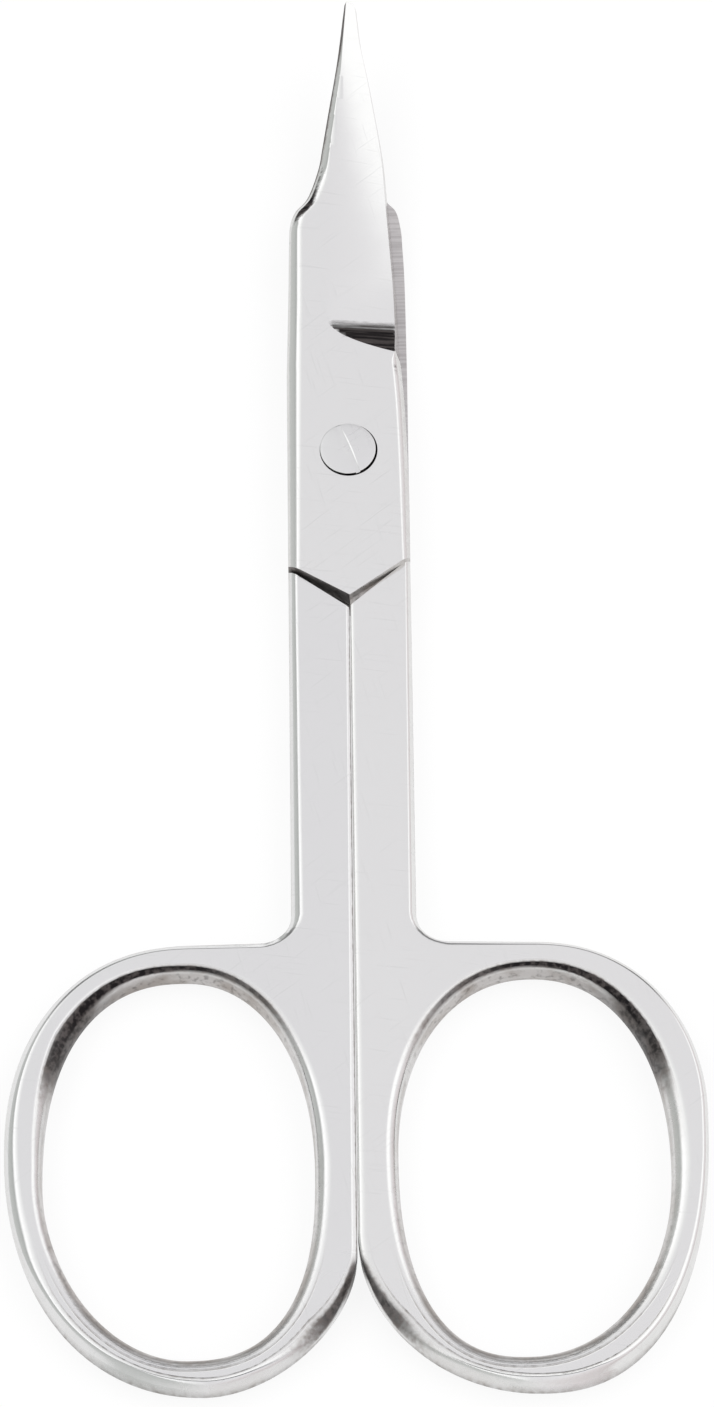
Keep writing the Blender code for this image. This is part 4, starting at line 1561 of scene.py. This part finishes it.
@dataclass(frozen=True)
class SteelSurface:
    """The node group that all the steel shares: hairlines, hand marks, ground lines and raw forging.

    Attributes:
        hairline_turns: The directions in which it was polished and has been scratched.
        hairline_scale: Hairlines in a metre along and across their direction, and in height.
        hairline_octaves: The octaves of their noise.
        hairline_range: The noise from which a hairline shows.
        hairline_depth: How deep a hairline is.
        hairline_tone: Its colour.
        hairline_share: How much of that colour it has.
        wave_noise: The noise of the hollows that hand polishing leaves.
        wave_depth: How deep they are.
        grind_scale: Ground lines in a metre along, across and in height.
        grind_octaves: The octaves of their noise.
        grind_depth: How deep they are.
        grind_range: The noise between their darkest and lightest.
        grind_tones: Their darkest and lightest colour.
        streak_rise: How fast the wheel's lines take the place of pits in the oxide.
        pit_noise: The noise of the forged skin's pits.
        pit_depth: How deep they are.
        blotch_noise: The noise of that skin's lighter blotches.
        blotch_range: The noise between the skin's own colour and its lightest.
        blotch_tone: Its lightest colour.
        pit_range: The noise between a pit's floor and the skin.
        pit_share: How much of its floor's colour a pit has.
        pit_tone: That colour.
        oxide_range: The noise between the oxide's darkest and lightest.
        oxide_and_shade_tones: Its darkest and lightest colour, which also paints shade and dark reflections.
        oxide_fray: How much the noise frays the oxide's border.
        smudge_noise: The noise of the smudges that hands leave.
        smudge_range: The noise between clean and smudged.
        smudge_polish: What they add to the roughness.
        grain_noise: The noise of the polish's finest unevenness.
        grain_range: The noise between fine and coarse.
        grain_polish: What they add to the roughness.
        hairline_polish: What a hairline adds to it.
        grind_polish: What ground lines add to it.
        raw_polish: What forged skin adds to it.
    """

    hairline_turns: tuple[float, ...] = (math.radians(8.0), math.radians(74.0), math.radians(-38.0))
    hairline_scale: tuple[float, float, float] = (260.0, 7500.0, 700.0)
    hairline_octaves: float = 3.0
    hairline_range: Range = (0.6, 0.74)
    hairline_depth: float = 0.0008 * MM
    hairline_tone: Colour = (0.5, 0.5, 0.5, 1.0)
    hairline_share: float = 0.12
    wave_noise: NoiseSize = (170.0, 2.0)
    wave_depth: float = 0.035 * MM
    grind_scale: tuple[float, float, float] = (260.0, 5600.0, 160.0)
    grind_octaves: float = 4.0
    grind_depth: float = 0.006 * MM
    grind_range: Range = (0.35, 0.65)
    grind_tones: tuple[Colour, Colour] = ((0.46, 0.44, 0.44, 1.0), (0.58, 0.56, 0.56, 1.0))
    streak_rise: float = 10.0
    pit_noise: NoiseSize = (2600.0, 5.0)
    pit_depth: float = 0.05 * MM
    blotch_noise: NoiseSize = (520.0, 3.0)
    blotch_range: Range = (0.35, 0.65)
    blotch_tone: Colour = (0.6, 0.58, 0.57, 1.0)
    pit_range: Range = (0.3, 0.5)
    pit_share: float = 0.5
    pit_tone: Colour = (0.1, 0.09, 0.085, 1.0)
    oxide_range: Range = (0.42, 0.64)
    oxide_and_shade_tones: tuple[Colour, Colour] = ((0.02, 0.018, 0.019, 1.0), (0.095, 0.084, 0.082, 1.0))
    oxide_fray: float = 14.0
    smudge_noise: NoiseSize = (85.0, 4.0)
    smudge_range: Range = (0.35, 0.7)
    smudge_polish: Range = (-0.025, 0.05)
    grain_noise: NoiseSize = (3400.0, 2.0)
    grain_range: Range = (0.3, 0.7)
    grain_polish: Range = (-0.01, 0.015)
    hairline_polish: float = 0.07
    grind_polish: float = 0.16
    raw_polish: float = 0.34

    def build(self) -> bpy.types.NodeTree:
        """Builds the group.

        Returns:
            The group, which puts out a colour, a roughness and a normal.
        """
        group = bpy.data.node_groups.new("steel_surface", "ShaderNodeTree")
        for way, kind, names in (
            ("INPUT", "NodeSocketColor", ("Tone", "Raw Tone")),
            ("INPUT", "NodeSocketFloat", ("Polish", "Raw", "Ground", "Oxide And Shade", "Relief")),
            ("OUTPUT", "NodeSocketColor", ("Color",)),
            ("OUTPUT", "NodeSocketFloat", ("Roughness",)),
            ("OUTPUT", "NodeSocketVector", ("Normal",)),
        ):
            for name in names:
                group.interface.new_socket(name=name, in_out=way, socket_type=kind)
        board = Board(group)
        given = dict(board.add("NodeGroupInput").outputs.items())
        seen = self.patterns(board)
        height = self.height(board, given, seen)
        bump = board.add("ShaderNodeBump", {"Strength": 1.0, "Distance": MM, "Height": height})
        results = {
            "Color": self.colour(board, given, seen), "Roughness": self.roughness(board, given, seen),
            "Normal": bump.outputs[0],
        }
        board.add("NodeGroupOutput", results)
        return group

    def patterns(self, board: Board) -> SteelPatterns:
        """Places the patterns.

        Args:
            board: The group's nodes.

        Returns:
            The patterns.
        """
        where = board.add("ShaderNodeTexCoord").outputs["Object"]
        scratches: bpy.types.NodeSocket | None = None
        for turn in self.hairline_turns:
            noise = board.streaks(where, turn, self.hairline_scale, self.hairline_octaves)
            lines = board.remap(noise, *self.hairline_range)
            scratches = board.math("MAXIMUM", scratches, lines) if scratches else lines
        return SteelPatterns(
            scratches=scratches,
            smudge=board.noise(where, *self.smudge_noise),
            grain=board.noise(where, *self.grain_noise),
            waves=board.noise(where, *self.wave_noise),
            pits=board.noise(where, *self.pit_noise),
            blotch=board.noise(where, *self.blotch_noise),
            ground_lines=board.streaks(where, 0.0, self.grind_scale, self.grind_octaves),
        )

    def colour(
        self, board: Board, given: dict[str, bpy.types.NodeSocket], seen: SteelPatterns
    ) -> bpy.types.NodeSocket:
        """Joins the colours of polished, ground, forged and burnt steel, and the dark colour that also
        paints shade.

        Args:
            board: The group's nodes.
            given: The group's inputs.
            seen: The patterns.

        Returns:
            The colour.
        """
        skin = board.mix(board.remap(seen.blotch, *self.blotch_range), given["Raw Tone"], self.blotch_tone)
        skin = board.mix(board.remap(seen.pits, *self.pit_range, self.pit_share, 0.0), skin, self.pit_tone)
        streaked = board.math("MULTIPLY", given["Ground"], self.streak_rise, use_clamp=True)
        change = board.math("SUBTRACT", seen.ground_lines, seen.pits)
        uneven = board.math("MULTIPLY_ADD", change, streaked, seen.pits)
        # The oxide's dark colour, which also serves as painted shade and painted dark reflection.
        oxide = board.mix(board.remap(uneven, *self.oxide_range), *self.oxide_and_shade_tones)
        skin = board.mix(given["Oxide And Shade"], skin, oxide)
        ground = board.mix(board.remap(seen.ground_lines, *self.grind_range), *self.grind_tones)
        marked = board.math("MULTIPLY", seen.scratches, self.hairline_share)
        tone = board.mix(marked, given["Tone"], self.hairline_tone)
        tone = board.mix(given["Ground"], tone, ground)
        # The border frays where raw steel and oxide are both there in part.
        part = board.math("MULTIPLY", given["Raw"], board.math("SUBTRACT", 1.0, given["Raw"]))
        part = board.math("MULTIPLY", board.math("MULTIPLY", part, given["Oxide And Shade"]), self.oxide_fray)
        fray = board.math("SUBTRACT", uneven, 0.5)
        share = board.math("MULTIPLY_ADD", fray, part, given["Raw"], use_clamp=True)
        return board.mix(share, tone, skin)

    def roughness(
        self, board: Board, given: dict[str, bpy.types.NodeSocket], seen: SteelPatterns
    ) -> bpy.types.NodeSocket:
        """Adds up how dull the steel is.

        Args:
            board: The group's nodes.
            given: The group's inputs.
            seen: The patterns.

        Returns:
            The roughness.
        """
        smudge = board.remap(seen.smudge, *self.smudge_range, *self.smudge_polish)
        grain = board.remap(seen.grain, *self.grain_range, *self.grain_polish)
        rough = board.math("ADD", board.math("ADD", given["Polish"], smudge), grain)
        for mask, dulled in (
            (seen.scratches, self.hairline_polish),
            (given["Ground"], self.grind_polish),
            (given["Raw"], self.raw_polish),
        ):
            rough = board.math("MULTIPLY_ADD", mask, dulled, rough)
        return rough

    def height(
        self, board: Board, given: dict[str, bpy.types.NodeSocket], seen: SteelPatterns
    ) -> bpy.types.NodeSocket:
        """Adds up the fine relief of the steel.

        Args:
            board: The group's nodes.
            given: The group's inputs.
            seen: The patterns.

        Returns:
            The height, in millimetres.
        """
        cut = board.math("MULTIPLY", seen.ground_lines, given["Ground"])
        pitted = board.math("MULTIPLY", seen.pits, given["Raw"])
        height = given["Relief"]
        for pattern, depth in (
            (seen.waves, self.wave_depth), (seen.scratches, -self.hairline_depth),
            (cut, self.grind_depth), (pitted, self.pit_depth),
        ):
            height = board.math("MULTIPLY_ADD", pattern, depth / MM, height)
        return height


@dataclass(frozen=True)
class Steel:
    """A polished steel finish.

    Attributes:
        name: The material's name.
        tone: Its colour where it is polished.
        raw_tone: Its colour where the forged skin is left.
        polish: Its roughness where it is polished.
        turned: How deep the rings are that a lathe left round the pivot, none if 0.
        turned_scale: How close those rings lie.
        turned_play: How uneven they are.
    """

    name: str
    tone: Colour
    raw_tone: Colour = (0.42, 0.385, 0.36, 1.0)
    polish: float = 0.15
    turned: float = 0.0
    turned_scale: float = 2200.0
    turned_play: float = 0.6

    def build(self, group: bpy.types.NodeTree, pivot: Vector) -> bpy.types.Material:
        """Builds the material.

        Args:
            group: The shared steel surface.
            pivot: The axis of the turned rings.

        Returns:
            The material.
        """
        material = bpy.data.materials.new(self.name)
        material.use_nodes = True
        board = Board(material.node_tree)
        board.tree.nodes.clear()
        masks = board.add("ShaderNodeAttribute", attribute_name=FINISH_AND_SHADE_MASK)
        parts = board.add("ShaderNodeSeparateColor", {"Color": masks.outputs["Color"]}).outputs
        surface = board.add("ShaderNodeGroup", node_tree=group)
        for name, value in (("Tone", self.tone), ("Raw Tone", self.raw_tone), ("Polish", self.polish)):
            surface.inputs[name].default_value = value
        for part, name in zip(parts, ("Raw", "Ground", "Oxide And Shade")):
            board.tree.links.new(part, surface.inputs[name])
        if self.turned:
            where = board.add("ShaderNodeTexCoord").outputs["Object"]
            centred = board.add("ShaderNodeMapping", {"Vector": where, "Location": -pivot})
            inputs = {
                "Vector": centred.outputs[0], "Scale": self.turned_scale, "Distortion": self.turned_play,
            }
            rings = board.add("ShaderNodeTexWave", inputs, wave_type="RINGS", rings_direction="Z")
            relief = board.math("MULTIPLY", rings.outputs["Fac"], self.turned / MM)
            board.tree.links.new(relief, surface.inputs["Relief"])
        shader = board.add(
            "ShaderNodeBsdfPrincipled",
            {
                "Base Color": surface.outputs["Color"], "Roughness": surface.outputs["Roughness"],
                "Normal": surface.outputs["Normal"], "Metallic": 1.0,
            },
        )
        board.add("ShaderNodeOutputMaterial", {"Surface": shader.outputs[0]})
        return material


@dataclass
class Studio:
    """The table, the soft lights and the camera.

    The room's directions are in degrees: across from overhead to +X, and along from overhead to +Y.

    Attributes:
        eye: Where the camera stands.
        target: What lies in the middle of its picture.
        roll: How far the camera's upright leans to +X.
        lens: Its lens for a picture whose longer side is as wide as its sensor.
        sensor: That side, in millimetres.
        nearest: The nearest that it sees.
        tones: The room's colours, each with its direction across.
        panel_gray: How bright the panel overhead is.
        panel_slant: How far its near side slants.
        panel_start: The directions across between which it begins.
        panel_end: The same for its far side.
        panel_near: The directions along between which it begins.
        bands: Grays of the darker bands before and behind the camera, each with the directions along
            where it begins, is full, eases and ends.
        band_facing: The share of +Y or -Y in a level direction from which those bands are seen.
        floor_size: The side of the table top.
        paper: The table's own colour.
        paper_glow: How much of it is plain white to the camera and in a mirror.
        lamp_height: How high the soft boxes hang.
        lamp_length: How long they are.
        lamp_forward: How far they hang to +Y.
        soft_boxes: Their names, each with the directions across of its two sides.
    """

    eye: Vector = field(default_factory=lambda: Vector((0.38, -157.65, 352.45)) * MM)
    target: Vector = field(default_factory=lambda: Vector((0.38, -1.46, 1.65)) * MM)
    roll: float = math.radians(0.73)
    lens: float = 154.2
    sensor: float = 36.0
    nearest: float = 0.01
    tones: tuple[tuple[float, tuple[float, float, float]], ...] = (
        (-85.0, (0.67, 0.685, 0.67)), (-60.0, (0.59, 0.605, 0.59)), (-50.0, (0.455, 0.468, 0.458)),
        (-45.0, (1.0, 1.0, 1.0)), (-41.0, (1.4, 1.4, 1.4)), (-34.0, (1.35, 1.35, 1.35)),
        (-20.0, (1.12, 1.12, 1.12)), (-7.0, (0.93, 0.93, 0.94)), (0.0, (0.91, 0.9, 0.92)),
        (46.0, (0.98, 0.97, 0.99)), (60.0, (0.94, 0.9, 0.91)), (76.0, (0.86, 0.81, 0.82)),
        (85.0, (0.72, 0.67, 0.67)),
    )
    panel_gray: float = 1.28
    panel_slant: float = -0.75
    panel_start: Range = (2.5, 9.0)
    panel_end: Range = (50.0, 44.0)
    panel_near: Range = (-34.0, -20.0)
    bands: tuple[tuple[float, tuple[float, float, float, float]], ...] = (
        (0.22, (36.0, 46.0, 58.0, 66.0)), (0.2, (-22.0, -29.0, -40.0, -48.0)),
    )
    band_facing: Range = (0.72, 0.86)
    floor_size: float = 6.0
    paper: Colour = (0.9, 0.9, 0.9, 1.0)
    paper_glow: float = 0.86
    lamp_height: float = 0.9
    lamp_length: float = 1.6
    lamp_forward: float = 0.2
    soft_boxes: tuple[tuple[str, float, float], ...] = (
        ("soft_box_left", -44.0, -12.0), ("soft_box_right", 20.0, 60.0),
    )

    def build(self) -> None:
        """Builds all of it."""
        self.table()
        self.room()
        self.lamps()
        self.camera()

    def table(self) -> None:
        """Builds a plain white table top, which a mirror sees as white too and which keeps the shadow."""
        work = bmesh.new()
        bmesh.ops.create_grid(work, x_segments=1, y_segments=1, size=self.floor_size / 2)
        top = linked("table_top", work)
        material = bpy.data.materials.new("white_table")
        material.use_nodes = True
        board = Board(material.node_tree)
        board.tree.nodes.clear()
        path = board.add("ShaderNodeLightPath").outputs
        seen = board.math("MAXIMUM", path["Is Camera Ray"], path["Is Glossy Ray"])
        seen = board.math("MAXIMUM", seen, path["Is Transmission Ray"])
        paper = board.add("ShaderNodeBsdfDiffuse", {"Color": self.paper})
        white = board.add("ShaderNodeEmission", {"Color": (1.0, 1.0, 1.0, 1.0), "Strength": 1.0})
        share = board.math("MULTIPLY", seen, self.paper_glow)
        mixed = board.add("ShaderNodeMixShader", {0: share, 1: paper.outputs[0], 2: white.outputs[0]})
        board.add("ShaderNodeOutputMaterial", {"Surface": mixed.outputs[0]})
        top.data.materials.append(material)

    def room(self) -> None:
        """Lights the room: gray walls, a bright panel overhead, dark before and behind the camera."""
        world = bpy.data.worlds.new("studio_room")
        bpy.context.scene.world = world
        world.use_nodes = True
        board = Board(world.node_tree)
        board.tree.nodes.clear()
        where = board.add("ShaderNodeTexCoord").outputs["Generated"]
        parts = board.add("ShaderNodeSeparateXYZ", {"Vector": where}).outputs
        along = board.math("ARCSINE", parts["Y"])
        across = board.math("ARCTAN2", parts["X"], parts["Z"])
        colour = self.walls(board, across)
        slanted = board.math("MULTIPLY_ADD", along, self.panel_slant, across)
        panel = board.turn_step(slanted, *self.panel_start)
        panel = board.math("MULTIPLY", panel, board.turn_step(across, *self.panel_end))
        panel = board.math("MULTIPLY", panel, board.turn_step(along, *self.panel_near))
        colour = board.mix(panel, colour, (self.panel_gray, self.panel_gray, self.panel_gray, 1.0))
        level = board.add("ShaderNodeCombineXYZ", {"X": parts["X"], "Y": parts["Y"]}).outputs[0]
        reach = board.add("ShaderNodeVectorMath", {0: level}, operation="LENGTH").outputs["Value"]
        # Straight overhead nothing is level, and the least reach keeps that from a division by zero.
        facing = board.math("DIVIDE", board.math("ABSOLUTE", parts["Y"]), board.math("MAXIMUM", reach, 0.01))
        facing = board.remap(facing, *self.band_facing)
        for gray, (start, full, eases, end) in self.bands:
            rise = board.turn_step(along, start, full)
            fall = board.turn_step(along, end, eases)
            share = board.math("MULTIPLY", board.math("MULTIPLY", rise, fall), facing)
            colour = board.mix(share, colour, (gray, gray, gray, 1.0))
        light = board.add("ShaderNodeBackground", {"Color": colour, "Strength": 1.0})
        board.add("ShaderNodeOutputWorld", {"Surface": light.outputs[0]})

    def walls(self, board: Board, across: bpy.types.NodeSocket) -> bpy.types.NodeSocket:
        """Colours the room by its directions across.

        Args:
            board: The world's nodes.
            across: The direction across, in radians.

        Returns:
            The colour.
        """
        # The ramp runs from level to -X at 0, past overhead, to level to +X at 1.
        turn = board.math("MULTIPLY_ADD", across, 1.0 / math.pi, 0.5)
        ramp = board.add("ShaderNodeValToRGB", {0: turn})
        spots = ramp.color_ramp.elements
        for angle, tone in self.tones:
            spots.new(angle / 180.0 + 0.5).color = (*tone, 1.0)
        # A new ramp comes with two spots of its own, at its ends.
        spots.remove(spots[0])
        spots.remove(spots[-1])
        return ramp.outputs[0]

    def lamps(self) -> None:
        """Hangs the soft boxes over the table, one to each side of the camera."""
        for name, start, end in self.soft_boxes:
            near, far = (self.lamp_height * math.tan(math.radians(angle)) for angle in (start, end))
            lamp = bpy.data.lights.new(name, "AREA")
            lamp.shape = "RECTANGLE"
            lamp.size = far - near
            lamp.size_y = self.lamp_length
            # This energy makes a box as bright as plain white.
            lamp.energy = math.pi * lamp.size * lamp.size_y
            box = placed(name, lamp)
            box.location = ((near + far) / 2, self.lamp_forward, self.lamp_height)
            box.visible_glossy = False

    def camera(self) -> None:
        """Places the camera at the photograph's viewpoint."""
        ahead = (self.target - self.eye).normalized()
        level = ahead.cross(Vector((0.0, 1.0, 0.0))).normalized()
        upright = level.cross(ahead)
        right = level * math.cos(self.roll) - upright * math.sin(self.roll)
        up = upright * math.cos(self.roll) + level * math.sin(self.roll)
        data = bpy.data.cameras.new("camera")
        data.lens = self.lens
        data.sensor_width = self.sensor
        data.clip_start = self.nearest
        camera = placed("camera", data)
        turn = Matrix((right, up, -ahead)).transposed().to_4x4()
        camera.matrix_world = Matrix.Translation(self.eye) @ turn
        bpy.context.scene.camera = camera


def dress(piece: bpy.types.Object, material: bpy.types.Material, body: str, node: str) -> None:
    """Gives a piece its material and its place in the object.

    Args:
        piece: The piece.
        material: Its material.
        body: The body that it rides on.
        node: The solid that it stands for.
    """
    piece.data.materials.clear()
    piece.data.materials.append(material)
    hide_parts(node)
    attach(piece, body)
    LOG.info("%s: %d faces on %s", piece.name, len(piece.data.polygons), body)


def main() -> None:
    """Builds the scissors and the studio."""
    logging.basicConfig(level=logging.INFO, format="%(message)s")
    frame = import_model()
    lap = Lap(pivot=Vector(frame["joints"][0]["pos_m"]))

    surface = SteelSurface().build()
    front_steel = Steel("polished_front_steel", (0.79, 0.79, 0.785, 1.0))
    back_steel = Steel("polished_back_steel", (0.77, 0.77, 0.77, 1.0), polish=0.17)
    screw_steel = Steel("turned_screw_steel", (0.76, 0.76, 0.76, 1.0), polish=0.2, turned=0.0006 * MM)
    pivot = lap.pivot
    dress(front_half(lap).build(), front_steel.build(surface, pivot), "front", "front_half")
    dress(back_half(lap).build(), back_steel.build(surface, pivot), "back", "back_half")
    dress(PivotScrew(lap).build(), screw_steel.build(surface, pivot), "back", "pivot_screw")

    Studio().build()
    bpy.context.scene.view_settings.view_transform = "Standard"


if __name__ == "__main__":
    main()
